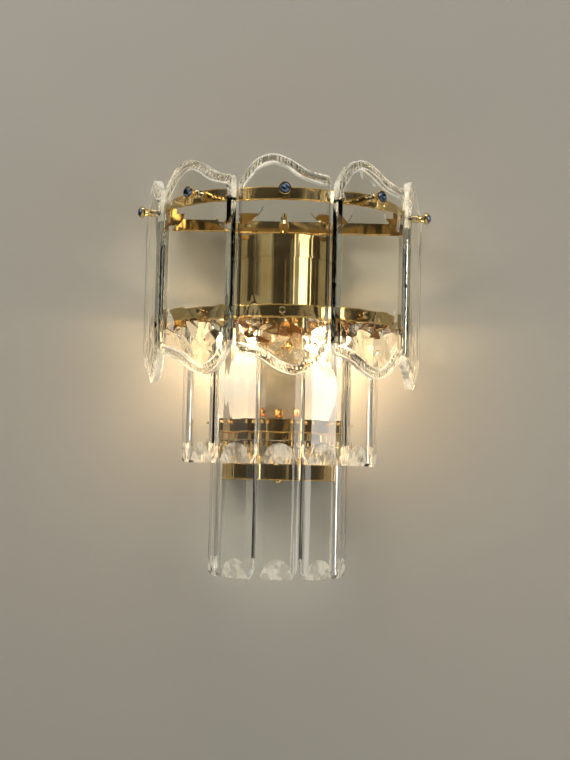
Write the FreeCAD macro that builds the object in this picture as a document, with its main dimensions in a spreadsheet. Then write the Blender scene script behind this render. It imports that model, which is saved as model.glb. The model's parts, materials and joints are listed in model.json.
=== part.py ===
import FreeCAD, Part
import Sketcher
import math
import os
import re

# A wall sconce in gold-plated steel and cut crystal, in millimetres.
# The wall is the plane y = 0 and the lamp stands out of it towards -Y. +Z is up.
# The origin is the middle of the mounting strap's back face, where it lies on the wall.
# Every half ring, drum, plate and bar is set out round one upright line, the ring axis,
# which stands ring_axis_y in front of the wall at x = 0. Angle 0 on it faces the viewer.

DIMENSIONS = {
    # wall pan: the shallow steel box that everything hangs on
    "pan_width": 100.0,
    "pan_top": 130.0,
    "pan_bottom": -130.0,
    "pan_depth": 18.0,
    "pan_wall": 1.2,
    # mounting strap behind the pan
    "strap_width": 22.0,
    "strap_middle": -27.5,
    "strap_length": 136.0,
    "strap_thickness": 2.0,
    "slot_spacing": 110.0,
    "slot_width": 4.5,
    "slot_length": 12.0,
    "slot_centre": -27.5,
    "stud_spacing": 69.0,
    "stud_radius": 2.0,
    "stud_reach": 24.0,
    "nut_radius": 4.5,
    "nut_height": 7.0,
    # electrical pieces
    "block_width": 26.0,
    "block_height": 18.0,
    "block_depth": 11.0,
    "block_top": -66.0,
    "block_wire_bore": 1.6,
    "lead_radius": 1.2,
    "lead_spacing": 6.0,
    "lead_drop": 27.0,
    "lead_turn_y": 30.0,
    "grommet_hole_radius": 5.5,
    "grommet_bore_radius": 4.5,
    "grommet_flange_radius": 7.5,
    "grommet_flange": 1.5,
    # screws
    "screw_radius": 2.0,
    "screw_head_radius": 3.6,
    "screw_head_height": 2.4,
    "screw_length": 7.0,
    "earth_screw_height": 12.0,
    # upper and lower outer rings
    "ring_radius": 117.0,
    "ring_wall": 1.5,
    "ring_height": 12.0,
    "ring_lug_width": 9.0,
    "upper_ring_bottom": 133.0,
    "lower_ring_bottom": 22.5,
    "back_bar_thickness": 2.0,
    "back_bar_tab": 14.0,
    "back_bar_screw_x": 30.0,
    "back_bar_screw_drop": 7.5,
    # upper drum under its cap
    "drum_radius": 49.6,
    "drum_wall": 1.2,
    "drum_bottom": 25.0,
    "cap_top": 112.0,
    "cap_skirt": 22.0,
    "cap_wall": 1.2,
    "cap_lip": 1.0,
    "cap_lip_height": 2.0,
    "drum_bolt_y": 22.0,
    "drum_bolt_radius": 3.0,
    "arm_width": 20.0,
    "arm_thickness": 2.0,
    "arm_reach": 32.0,
    "arm_tab": 16.0,
    "finial_height": 26.0,
    "finial_radius": 5.0,
    "washer_radius": 8.5,
    "washer_height": 2.0,
    # crystal plates on their studs
    "plate_count": 5,
    "plate_gap": 1.1,
    "end_plate_drop": 5.0,
    "plate_width": 85.5,
    "plate_thickness": 12.0,
    "plate_height": 206.0,
    "plate_middle": 71.0,
    "plate_wave": 31.0,
    "plate_bevel": 2.4,
    "plate_standoff": 7.0,
    "rod_radius": 2.5,
    "rod_head_radius": 4.0,
    "rod_head_height": 2.0,
    "rod_play": 0.5,
    "spacer_radius": 4.5,
    "collar_radius": 5.9,
    "collar_length": 10.0,
    "stud_cap_radius": 5.7,
    "stud_cap_sink": 0.9,
    "bumper_radius": 3.4,
    # middle tier of hanging bars
    "bar_width": 40.0,
    "bar_thickness": 8.0,
    "bar_bevel_width": 7.0,
    "bar_bevel_depth": 2.4,
    "bar_hole_radius": 1.2,
    "bar_hole_drop": 6.0,
    "bar_hole_spacing": 24.0,
    "bar_corner_width": 5.5,
    "bar_corner_height": 9.5,
    "foot_arch": 20.0,
    "foot_depth": 3.6,
    "mid_bar_count": 7,
    "bar_gap": 0.73,
    "mid_bar_inset": 21.5,
    "mid_bar_length": 141.5,
    "ledge_width": 27.5,
    "ledge_thickness": 1.5,
    # bottom tier of hanging bars
    "low_bar_count": 5,
    "low_bar_length": 135.0,
    "hanger_radius": 64.5,
    "hanger_wall": 1.5,
    "hanger_bottom": -83.5,
    "hanger_height": 13.0,
    "hanger_hole_drop": 3.5,
    "hanger_screw_x": 20.0,
    # wire pins that carry the bars
    "pin_radius": 0.6,
    "pin_hole_radius": 1.3,
    "pin_ball_radius": 1.75,
    "pin_side_gap": 0.3,
    "pin_seat_gap": 0.1,
    "pin_bar_gap": 0.2,
    "pin_tail": 3.0,
    "bar_drop": 7.5,
    # lower drum, which hides the lampholders
    "low_drum_radius": 57.0,
    "low_drum_wall": 1.2,
    "low_drum_bottom": -130.0,
    "carrier_top": -83.2,
    "carrier_thickness": 1.5,
    "carrier_nut_radius": 7.0,
    "carrier_nut_height": 11.0,
    "bolt_head_radius": 5.0,
    "bolt_head_height": 3.0,
    # lampholders and candle bulbs
    "lamp_x": 38.5,
    "lamp_y": 19.0,
    "holder_radius": 12.5,
    "holder_flange_radius": 14.0,
    "holder_flange": 2.5,
    "holder_top": -72.0,
    "holder_length": 52.0,
    "holder_bore_radius": 7.2,
    "holder_bore_depth": 27.0,
    "bulb_cap_radius": 6.9,
    "bulb_cap_length": 27.0,
    "globe_radius": 17.5,
    "globe_neck_radius": 8.0,
    "globe_height": 74.0,
    "globe_wall": 0.8,
    "filament_radius": 4.0,
    "filament_height": 38.0,
    # running clearances
    "bore_clearance": 0.1,
    "screw_clearance": 0.05,
    "seat_clearance": 0.2,
}

# Sizes and places that follow from the ones above. The plates and the bars stand edge to edge
# round their rings, so their pitch comes from their width and the gap between back corners.
DERIVED = {
    "ring_axis_y": "pan_depth + back_bar_thickness",
    "ring_inside": "ring_radius - ring_wall",
    "upper_stud_z": "strap_middle + stud_spacing / 2",
    "lower_stud_z": "strap_middle - stud_spacing / 2",
    "earth_screw_z": "strap_middle - earth_screw_height",
    "lead_low_z": "block_top - block_height - lead_drop",
    "stud_height": "upper_ring_bottom + ring_height / 2",
    "lower_ring_middle": "lower_ring_bottom + ring_height / 2",
    "ledge_top": "lower_ring_bottom + ring_height",
    "plate_back": "ring_radius + plate_standoff",
    "plate_front": "plate_back + plate_thickness",
    "plate_pitch": "2 * atan((plate_width + plate_gap) / 2 / plate_back)",
    "foot_ball_radius": "(foot_arch ^ 2 + foot_depth ^ 2) / (2 * foot_depth)",
    "mid_bar_radius": "ring_inside - mid_bar_inset",
    "mid_bar_pitch": "2 * atan((bar_width + bar_gap) / 2 / (mid_bar_radius - bar_thickness / 2))",
    "mid_bar_top": "ledge_top - bar_drop",
    "mid_ball_z": "ledge_top + sqrt((pin_ball_radius + pin_seat_gap) ^ 2 - pin_hole_radius ^ 2)",
    "low_bar_radius": "hanger_radius - hanger_wall / 2",
    "low_bar_pitch": "2 * atan((bar_width + bar_gap) / 2 / (low_bar_radius - bar_thickness / 2))",
    "low_bar_top": "hanger_bottom - bar_drop",
    "low_ball_z": "hanger_bottom + hanger_height - hanger_hole_drop",
    "low_ball_radius": "hanger_radius + pin_seat_gap + pin_ball_radius",
    "drum_axis_y": "ring_axis_y + drum_bolt_y",
    "carrier_low": "carrier_top - carrier_thickness",
    "nut_inside_z": "carrier_top + carrier_nut_height * 0.6",
    "holder_bore_z": "holder_top - holder_bore_depth",
    "globe_seat": "holder_bore_z + seat_clearance + bulb_cap_length",
}

# More than any wall is thick, so that a cut comes out on the far side.
DIMENSIONS["cut_over"] = 1.0

NODE_FOLDER = "parts"

doc = FreeCAD.newDocument("crystal_wall_sconce")
sheet = doc.addObject("Spreadsheet::Sheet", "Dims")
for row, (alias, number) in enumerate(DIMENSIONS.items(), start=1):
    sheet.set("A%d" % row, alias)
    sheet.set("B%d" % row, str(number))
    sheet.setAlias("B%d" % row, alias)
for row, (alias, formula) in enumerate(DERIVED.items(), start=len(DIMENSIONS) + 1):
    sheet.set("A%d" % row, alias)
    sheet.set("B%d" % row, "=" + formula)
    sheet.setAlias("B%d" % row, alias)
doc.recompute()

ALIAS_WORD = re.compile(r"[a-z]+_[a-z_]*[a-z]")
NODES = []


def on_sheet(formula):
    """The formula with each dimension's name pointing at its cell."""
    return ALIAS_WORD.sub(lambda word: "Dims." + word.group(0), formula)


def number_of(alias):
    return float(sheet.get(alias))


def bind(thing, **formulas):
    """Ties properties to the sheet. An underscore stands for the dot in a placement's name."""
    for name, formula in formulas.items():
        thing.setExpression(name.replace("_", "."), on_sheet(formula))
    return thing


def place(thing, x="0", y="0", z="0", turn=None):
    """Puts a thing at a bound point. turn is (axis, degrees), fixed."""
    if turn:
        axis, degrees = turn
        rotation = FreeCAD.Rotation(FreeCAD.Vector(*axis), degrees)
        thing.Placement = FreeCAD.Placement(FreeCAD.Vector(), rotation)
    return bind(thing, Placement_Base_x=x, Placement_Base_y=y, Placement_Base_z=z)


def node(thing, label):
    """Marks a finished object as a sub-part with its own file."""
    thing.Label = label
    NODES.append(thing)
    return thing


# ---- primitives -------------------------------------------------------------------------

TO_VIEWER = ((1, 0, 0), 90)
TO_WALL = ((1, 0, 0), -90)
TO_RIGHT = ((0, 1, 0), 90)
TO_LEFT = ((0, 1, 0), -90)
DOWN = ((1, 0, 0), 180)
HALF_TURN = ((0, 0, 1), 180)


def cylinder(name, radius, height, x="0", y="0", z="0", turn=None):
    rod = doc.addObject("Part::Cylinder", name)
    bind(rod, Radius=radius, Height=height)
    return place(rod, x, y, z, turn)


def box(name, length, depth, height, x="0", y="0", z="0"):
    block = doc.addObject("Part::Box", name)
    bind(block, Length=length, Width=depth, Height=height)
    return place(block, x, y, z)


def ball(name, radius, x="0", y="0", z="0"):
    sphere = doc.addObject("Part::Sphere", name)
    bind(sphere, Radius=radius)
    return place(sphere, x, y, z)


def group(name, pieces):
    """Several separate solids as one object."""
    bundle = doc.addObject("Part::Compound", name)
    bundle.Links = pieces
    return bundle


def fuse(name, pieces):
    joined = doc.addObject("Part::MultiFuse", name)
    joined.Shapes = pieces
    joined.Refine = True
    return joined


def cut(name, base, tools):
    """The base less the tools, which may be many."""
    result = doc.addObject("Part::Cut", name)
    result.Base = base
    result.Tool = tools[0] if len(tools) == 1 else group(name + "_tools", tools)
    return result


def half_disc(name, radius, height, z):
    """A half round slab on the viewer's side of the ring axis."""
    slab = doc.addObject("Part::Cylinder", name)
    slab.Angle = 180
    bind(slab, Radius=radius, Height=height)
    return place(slab, "0", "-ring_axis_y", z, HALF_TURN)


def half_tube(name, radius, wall, height, z):
    outer = half_disc(name + "_outer", radius, height, z)
    inner = half_disc(name + "_inner", "%s - %s" % (radius, wall), "%s + 2 * cut_over" % height,
                      "%s - cut_over" % z)
    return cut(name, outer, [inner])


def round_the_axis(name, master, count, pitch, end_drop="0"):
    """Copies of a piece made at the ring axis, spread evenly to both sides of the front.
    The first and the last of them hang lower by end_drop."""
    copies = []
    for index in range(count):
        step = index - (count - 1) / 2.0
        copy = doc.addObject("Part::Compound", "%s_%d" % (name, index + 1))
        copy.Links = [master]
        copy.Placement = FreeCAD.Placement(FreeCAD.Vector(), FreeCAD.Rotation(FreeCAD.Vector(0, 0, 1), 1))
        bind(copy, Placement_Base_y="-ring_axis_y", Placement_Rotation_Angle="%s * %s" % (pitch, step))
        if index in (0, count - 1):
            bind(copy, Placement_Base_z="-" + end_drop)
        copies.append(copy)
    return copies


def at_plates(name, master, end_drop="end_plate_drop"):
    """A copy of a piece for each crystal plate. The two end plates and their studs hang lower."""
    return round_the_axis(name, master, int(number_of("plate_count")), "plate_pitch", end_drop)


# ---- sketched bodies --------------------------------------------------------------------


def origin_plane(body, role):
    for feature in body.Origin.OriginFeatures:
        if feature.Role == role:
            return feature


def sketch_on(body, name, role):
    sketch = body.newObject("Sketcher::SketchObject", name)
    sketch.AttachmentSupport = [(origin_plane(body, role), "")]
    sketch.MapMode = "FlatFace"
    return sketch


def hold(sketch, kind, item, end, start, formula):
    """Ties one coordinate of a sketch point, measured from the sketch's origin."""
    index = sketch.addConstraint(Sketcher.Constraint(kind, -1, 1, item, end, start))
    sketch.setExpression("Constraints[%d]" % index, on_sheet(formula))


# A sketch is drawn first as a round polygon of this radius, turned off the axes, and then solved.
START_RADIUS = 20.0
START_TURN = 0.1


def outline(body, name, role, corners):
    """A closed sketch of straight edges with every corner tied to the sheet."""
    sketch = sketch_on(body, name, role)
    count = len(corners)
    angles = [math.tau * i / count + START_TURN for i in range(count)]
    start = [FreeCAD.Vector(START_RADIUS * math.cos(a), START_RADIUS * math.sin(a), 0) for a in angles]
    for i in range(count):
        sketch.addGeometry(Part.LineSegment(start[i], start[(i + 1) % count]), False)
    for i in range(count):
        sketch.addConstraint(Sketcher.Constraint("Coincident", i, 2, (i + 1) % count, 1))
    for i, (across, up) in enumerate(corners):
        hold(sketch, "DistanceX", i, 1, start[i].x, across)
        hold(sketch, "DistanceY", i, 1, start[i].y, up)
    return sketch


def circles(body, name, role, spots):
    """A sketch of round holes, each given as (across, up, radius)."""
    sketch = sketch_on(body, name, role)
    for across, up, radius in spots:
        middle = FreeCAD.Vector(START_RADIUS, START_RADIUS * (1 + len(sketch.Geometry)), 0)
        item = sketch.addGeometry(Part.Circle(middle, FreeCAD.Vector(0, 0, 1), 1), False)
        hold(sketch, "DistanceX", item, 3, middle.x, across)
        hold(sketch, "DistanceY", item, 3, middle.y, up)
        index = sketch.addConstraint(Sketcher.Constraint("Radius", item, 1))
        sketch.setExpression("Constraints[%d]" % index, on_sheet(radius))
    return sketch


def new_body(name):
    return doc.addObject("PartDesign::Body", name)


def pad(body, sketch, length, backwards=False):
    feature = body.newObject("PartDesign::Pad", sketch.Name + "_pad")
    feature.Profile = sketch
    feature.Reversed = backwards
    return bind(feature, Length=length)


def pocket_through(body, sketch):
    """Cuts the sketch through the whole body, both ways."""
    feature = body.newObject("PartDesign::Pocket", sketch.Name + "_pocket")
    feature.Profile = sketch
    feature.Type = "ThroughAll"
    feature.SideType = "Symmetric"
    return feature


def turned(name, profile):
    """A solid of revolution round its body's own Z axis. profile is (radius, height) corners."""
    body = new_body(name)
    sketch = outline(body, name + "_profile", "XZ_Plane", profile)
    feature = body.newObject("PartDesign::Revolution", name + "_turn")
    feature.Profile = sketch
    feature.ReferenceAxis = (sketch, ["V_Axis"])
    feature.Angle = 360
    return body


# ---- wall side --------------------------------------------------------------------------


def screw_spots():
    """The places of the frame screws in the pan's front face. The last two are the arms'."""
    spots = []
    for sign in (-1, 1):
        spots.append(("%d * back_bar_screw_x" % sign, "upper_ring_bottom - back_bar_screw_drop"))
        spots.append(("%d * back_bar_screw_x" % sign, "lower_ring_middle"))
        spots.append(("%d * hanger_screw_x" % sign, "hanger_bottom + hanger_height / 2"))
    spots.append(("0", "cap_top - cap_wall - arm_tab / 2 - arm_thickness"))
    spots.append(("0", "carrier_low - arm_tab / 2 - arm_thickness"))
    return spots


def wall_pan():
    """The shallow pan, open to the wall, with its holes."""
    shell = box("pan_shell", "pan_width", "pan_depth", "pan_top - pan_bottom",
                "-pan_width / 2", "-pan_depth", "pan_bottom")
    hollow = box("pan_hollow", "pan_width - 2 * pan_wall", "pan_depth", "pan_top - pan_bottom - 2 * pan_wall",
                 "-pan_width / 2 + pan_wall", "-pan_depth + pan_wall", "pan_bottom + pan_wall")
    holes = []
    for word in ("upper", "lower"):
        holes.append(cylinder("pan_stud_hole_" + word, "stud_radius + bore_clearance", "pan_wall * 3",
                              "0", "-pan_depth - pan_wall", word + "_stud_z", TO_WALL))
    holes.append(cylinder("pan_lead_hole", "grommet_hole_radius", "pan_wall * 3",
                          "0", "-pan_depth - pan_wall", "lead_low_z", TO_WALL))
    for spot, (x, z) in enumerate(screw_spots()):
        holes.append(cylinder("pan_screw_hole_%d" % spot, "screw_radius + screw_clearance", "pan_wall * 3",
                              x, "-pan_depth - pan_wall", z, TO_WALL))
    return node(cut("pan_with_holes", shell, [hollow] + holes), "wall_pan")


def mounting_strap():
    """The flat strap on the wall, its two slots and the two threaded studs pressed into it."""
    strap = box("strap_blank", "strap_width", "strap_thickness", "strap_length",
                "-strap_width / 2", "-strap_thickness", "strap_middle - strap_length / 2")
    tools = []
    for sign, word in ((1, "upper"), (-1, "lower")):
        middle = "slot_centre + %d * slot_spacing / 2" % sign
        tools.append(box("slot_waist_" + word, "slot_width", "strap_thickness * 3",
                         "slot_length - slot_width", "-slot_width / 2", "-strap_thickness * 2",
                         middle + " - (slot_length - slot_width) / 2"))
        for end in (1, -1):
            tools.append(cylinder("slot_end_%s_%d" % (word, end > 0), "slot_width / 2",
                                  "strap_thickness * 3", "0", "-strap_thickness * 2",
                                  "%s + %d * (slot_length - slot_width) / 2" % (middle, end), TO_WALL))
    tools.append(cylinder("earth_hole", "screw_radius + screw_clearance", "strap_thickness * 3",
                          "0", "-strap_thickness * 2", "earth_screw_z", TO_WALL))
    slotted = cut("slotted_strap", strap, tools)
    studs = [cylinder("strap_stud_" + word, "stud_radius", "stud_reach - strap_thickness / 2", "0",
                      "-strap_thickness / 2", word + "_stud_z", TO_VIEWER) for word in ("upper", "lower")]
    return node(fuse("strap_with_studs", [slotted] + studs), "mounting_strap")


def cap_nuts():
    """Two domed nuts that clamp the pan to the strap's studs."""
    nuts = []
    for word in ("upper", "lower"):
        z = word + "_stud_z"
        skirt = cylinder("nut_skirt_" + word, "nut_radius", "nut_height - nut_radius / 2",
                         "0", "-pan_depth", z, TO_VIEWER)
        dome = ball("nut_dome_" + word, "nut_radius * 0.97", "0",
                    "-pan_depth - nut_height + nut_radius * 0.9", z)
        clear = cylinder("nut_clear_" + word, "nut_radius * 2", "nut_height",
                         "0", "-pan_depth", z, TO_WALL)
        bore = cylinder("nut_bore_" + word, "stud_radius + screw_clearance",
                        "stud_reach - pan_depth + seat_clearance + cut_over", "0",
                        "-pan_depth + cut_over", z, TO_VIEWER)
        nuts.append(cut("cap_nut_" + word, fuse("nut_" + word, [skirt, dome]), [bore, clear]))
    return node(group("cap_nut_pair", nuts), "cap_nuts")


def electrical_pieces():
    """Terminal block, grommet, earth screw and the two leads up to the lampholders."""
    back = "-pan_depth + pan_wall"
    block = box("block_body", "block_width", "block_depth", "block_height", "-block_width / 2", back,
                "block_top - block_height")
    bores = [cylinder("block_bore_%d" % spot, "block_wire_bore", "block_height + 2 * cut_over",
                      "%s * lead_spacing / 2" % across, back + " + block_depth / 2",
                      "block_top - block_height - cut_over")
             for spot, across in enumerate((-3, -1, 1, 3))]
    node(cut("block_with_bores", block, bores), "terminal_block")

    sleeve = cylinder("grommet_sleeve", "grommet_hole_radius - bore_clearance",
                      "pan_wall + 2 * grommet_flange", "0", "-pan_depth - grommet_flange",
                      "lead_low_z", TO_WALL)
    flanges = [cylinder("grommet_flange_front", "grommet_flange_radius", "grommet_flange",
                        "0", "-pan_depth - grommet_flange", "lead_low_z", TO_WALL),
               cylinder("grommet_flange_back", "grommet_flange_radius", "grommet_flange",
                        "0", back, "lead_low_z", TO_WALL)]
    bore = cylinder("grommet_bore", "grommet_bore_radius", "pan_wall + 2 * grommet_flange + 2 * cut_over",
                    "0", "-pan_depth - grommet_flange - cut_over", "lead_low_z", TO_WALL)
    node(cut("grommet_with_bore", fuse("grommet_body", [sleeve] + flanges), [bore]), "cable_grommet")

    head = cylinder("earth_head", "screw_head_radius", "screw_head_height", "0", "-strap_thickness",
                    "earth_screw_z", TO_VIEWER)
    shank = cylinder("earth_shank", "screw_radius", "strap_thickness", "0", "0", "earth_screw_z", TO_VIEWER)
    node(fuse("earth_screw_body", [head, shank]), "earth_screw")

    lead_y = "pan_depth - pan_wall - block_depth / 2"
    leads = []
    for sign in (-1, 1):
        x = "%d * lead_spacing / 2" % sign
        entry = "lamp_x - sqrt(holder_radius ^ 2 - (ring_axis_y + lamp_y - lead_turn_y) ^ 2)"
        side = "right" if sign > 0 else "left"
        pieces = [
            cylinder("lead_drop_" + side, "lead_radius", "block_height / 2 + lead_drop", x, "-(%s)" % lead_y,
                     "lead_low_z"),
            ball("lead_bend_" + side, "lead_radius", x, "-(%s)" % lead_y, "lead_low_z"),
            cylinder("lead_through_" + side, "lead_radius", "lead_turn_y - (%s)" % lead_y, x,
                     "-(%s)" % lead_y, "lead_low_z", TO_VIEWER),
            ball("lead_turn_" + side, "lead_radius", x, "-lead_turn_y", "lead_low_z"),
            cylinder("lead_run_" + side, "lead_radius",
                     "%s - lead_spacing / 2 - lead_radius - seat_clearance" % entry, x, "-lead_turn_y",
                     "lead_low_z", TO_RIGHT if sign > 0 else TO_LEFT),
        ]
        leads.append(fuse("lead_" + side, pieces))
    node(group("lead_pair", leads), "lamp_leads")


def frame_screws():
    """Pan head screws through the bars, the hanger ring and the two arms into the pan."""
    screws = []
    front = "-pan_depth - back_bar_thickness"
    for spot, (x, z) in enumerate(screw_spots()):
        head = cylinder("screw_head_%d" % spot, "screw_head_radius", "screw_head_height", x, front, z,
                        TO_VIEWER)
        shank = cylinder("screw_shank_%d" % spot, "screw_radius", "screw_length", x, front, z, TO_WALL)
        screws.append(fuse("screw_%d" % spot, [head, shank]))
    return node(group("frame_screw_set", screws), "frame_screws")


# ---- rings ------------------------------------------------------------------------------


def upper_ring():
    """The half ring that carries the plates, with a lug down to the back bar at each end."""
    band = half_tube("upper_band", "ring_radius", "ring_wall", "ring_height", "upper_ring_bottom")
    lug_bottom = "upper_ring_bottom - ring_height"
    lug_band = half_tube("lug_band", "ring_radius", "ring_wall", "ring_height", lug_bottom)
    between = box("between_lugs", "2 * (ring_radius - ring_lug_width)", "ring_radius + ring_axis_y",
                  "ring_height + cut_over", "-(ring_radius - ring_lug_width)", "-ring_radius - ring_axis_y",
                  lug_bottom + " - cut_over")
    lugs = cut("lug_pair", lug_band, [between])
    drill = cylinder("upper_band_drill", "rod_radius + bore_clearance", "ring_radius * 2", "0", "0",
                     "stud_height", TO_VIEWER)
    return node(cut("upper_band_drilled", fuse("upper_band_lugged", [band, lugs]),
                    at_plates("upper_band_drill_at", drill)), "upper_ring")


def back_bar(name, label, bar_bottom, tab_top, screw_height):
    """A flat bar across the pan whose ends turn up as tabs behind the ring's ends."""
    bar = box(name + "_strip", "2 * ring_radius", "back_bar_thickness", "ring_height",
              "-ring_radius", "-ring_axis_y", bar_bottom)
    pieces = [bar]
    for sign, x in ((-1, "-ring_radius"), (1, "ring_radius - back_bar_tab")):
        pieces.append(box("%s_tab_%d" % (name, sign > 0), "back_bar_tab", "back_bar_thickness",
                          "%s - (%s)" % (tab_top, bar_bottom), x, "-ring_axis_y", bar_bottom))
    drills = [cylinder("%s_hole_%d" % (name, sign > 0), "screw_radius + bore_clearance",
                       "back_bar_thickness * 3", "%d * back_bar_screw_x" % sign,
                       "-ring_axis_y - back_bar_thickness", screw_height, TO_WALL) for sign in (-1, 1)]
    return node(cut(name + "_drilled", fuse(name + "_body", pieces), drills), label)


def lower_ring():
    band = half_tube("lower_band", "ring_radius", "ring_wall", "ring_height", "lower_ring_bottom")
    return node(band, "lower_ring")


def hanger_ledge():
    """The flat half ring inside the lower ring's top edge, drilled for the bars' pins."""
    blank = half_disc("ledge_blank", "ring_inside", "ledge_thickness", "ledge_top - ledge_thickness")
    inside = half_disc("ledge_inside", "ring_inside - ledge_width", "ledge_thickness * 3",
                       "ledge_top - ledge_thickness * 2")
    drills = []
    for sign in (-1, 1):
        master = cylinder("ledge_drill_%d" % (sign > 0), "pin_hole_radius", "ledge_thickness * 3",
                          "%d * bar_hole_spacing / 2" % sign, "-mid_bar_radius",
                          "ledge_top - ledge_thickness * 2")
        drills += round_the_axis("ledge_drill_%d_at" % (sign > 0), master, int(number_of("mid_bar_count")),
                                 "mid_bar_pitch")
    return node(cut("ledge_drilled", blank, [inside] + drills), "hanger_ledge")


def lower_hanger_ring():
    """The closed D of flat strip that the bottom bars hang from."""
    band = half_tube("hanger_band", "hanger_radius", "hanger_wall", "hanger_height", "hanger_bottom")
    back = box("hanger_back", "2 * hanger_radius", "back_bar_thickness", "hanger_height",
               "-hanger_radius", "-ring_axis_y", "hanger_bottom")
    drills = [cylinder("hanger_screw_hole_%d" % (sign > 0), "screw_radius + bore_clearance",
                       "back_bar_thickness * 3", "%d * hanger_screw_x" % sign,
                       "-ring_axis_y - back_bar_thickness", "hanger_bottom + hanger_height / 2", TO_WALL)
              for sign in (-1, 1)]
    for sign in (-1, 1):
        master = cylinder("hanger_drill_%d" % (sign > 0), "pin_hole_radius", "hanger_radius",
                          "%d * bar_hole_spacing / 2" % sign, "-hanger_radius / 2", "low_ball_z", TO_VIEWER)
        drills += round_the_axis("hanger_drill_%d_at" % (sign > 0), master, int(number_of("low_bar_count")),
                                 "low_bar_pitch")
    return node(cut("hanger_drilled", fuse("hanger_body", [band, back]), drills), "lower_hanger_ring")


# ---- drums ------------------------------------------------------------------------------


def upper_drum():
    shell = half_tube("drum_shell", "drum_radius", "drum_wall",
                      "cap_top - cap_wall - drum_bottom - seat_clearance", "drum_bottom")
    return node(shell, "upper_drum")


def upper_drum_cap():
    """The cap over the drum: a skirt, a flat top and a bead round the top edge."""
    radius = "drum_radius + bore_clearance + cap_wall"
    outer = half_disc("cap_outer", radius, "cap_skirt", "cap_top - cap_skirt")
    beads = [half_disc("cap_bead_" + word, radius + " + cap_lip", "cap_lip_height", z)
             for word, z in (("top", "cap_top - cap_lip_height"), ("low", "cap_top - cap_skirt"))]
    inner = half_disc("cap_inner", "drum_radius + bore_clearance", "cap_skirt + cut_over - cap_wall",
                      "cap_top - cap_skirt - cut_over")
    hole = cylinder("cap_bolt_hole", "drum_bolt_radius + bore_clearance", "cap_wall * 3", "0",
                    "-drum_axis_y", "cap_top - cap_wall * 2")
    return node(cut("cap_hollow", fuse("cap_solid", [outer] + beads), [inner, hole]), "upper_drum_cap")


def arm(name, top, tab_screw):
    """An angle bracket: a tab screwed to the pan and an arm out to the drum's bolt."""
    tab = box(name + "_tab", "arm_width", "back_bar_thickness", "arm_tab", "-arm_width / 2",
              "-pan_depth - back_bar_thickness", "%s - arm_tab" % top)
    reach = box(name + "_reach", "arm_width", "arm_reach + back_bar_thickness", "arm_thickness",
                "-arm_width / 2", "-pan_depth - back_bar_thickness - arm_reach", "%s - arm_thickness" % top)
    drills = [cylinder(name + "_screw_hole", "screw_radius + bore_clearance", "back_bar_thickness * 3", "0",
                       "-pan_depth - back_bar_thickness * 2", tab_screw, TO_WALL),
              cylinder(name + "_bolt_hole", "drum_bolt_radius + bore_clearance", "arm_thickness * 3", "0",
                       "-drum_axis_y", "%s - arm_thickness * 2" % top)]
    return cut(name + "_drilled", fuse(name + "_body", [tab, reach]), drills)


def drum_arms():
    upper_screw, lower_screw = [z for x, z in screw_spots()[-2:]]
    upper = arm("upper_arm", "cap_top - cap_wall", upper_screw)
    lower = arm("lower_arm", "carrier_low", lower_screw)
    return node(group("arm_pair", [upper, lower]), "drum_arms")


def finial():
    """The turned nut on the upper drum, in one piece with its washer foot and screw."""
    body = turned("finial_body", [
        ("0", "-cap_wall - arm_thickness * 3"),
        ("drum_bolt_radius", "-cap_wall - arm_thickness * 3"),
        ("drum_bolt_radius", "0"),
        ("washer_radius", "0"),
        ("washer_radius", "washer_height"),
        ("finial_radius * 0.7", "washer_height * 1.5"),
        ("finial_radius * 0.7", "washer_height * 2.5"),
        ("finial_radius", "washer_height * 3.5"),
        ("finial_radius", "finial_height * 0.55"),
        ("finial_radius * 0.6", "finial_height * 0.7"),
        ("finial_radius * 0.75", "finial_height * 0.8"),
        ("finial_radius * 0.5", "finial_height * 0.95"),
        ("0", "finial_height"),
    ])
    return node(place(body, "0", "-drum_axis_y", "cap_top"), "finial")


def lower_drum():
    """The D-shaped cup under the lamps: a half round wall and a flat floor."""
    height = "carrier_low - low_drum_bottom"
    solid = half_disc("low_drum_solid", "low_drum_radius", height, "low_drum_bottom")
    hollow = half_disc("low_drum_hollow", "low_drum_radius - low_drum_wall", height,
                       "low_drum_bottom + low_drum_wall")
    hole = cylinder("low_drum_bolt_hole", "drum_bolt_radius + bore_clearance", "low_drum_wall * 3", "0",
                    "-drum_axis_y", "low_drum_bottom - low_drum_wall")
    return node(cut("low_drum_cup", solid, [hollow, hole]), "lower_drum")


def lamp_carrier():
    """The half round lid on the lower drum, which holds both lampholders."""
    lid = half_disc("carrier_lid", "low_drum_radius", "carrier_thickness", "carrier_low")
    below = "carrier_low - carrier_thickness"
    drills = [cylinder("carrier_hole_%d" % (sign > 0), "holder_radius + bore_clearance",
                       "carrier_thickness * 3", "%d * lamp_x" % sign, "-ring_axis_y - lamp_y", below)
              for sign in (-1, 1)]
    drills.append(cylinder("carrier_bolt_hole", "drum_bolt_radius + bore_clearance", "carrier_thickness * 3",
                           "0", "-drum_axis_y", below))
    return node(cut("carrier_drilled", lid, drills), "lamp_carrier")


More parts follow.
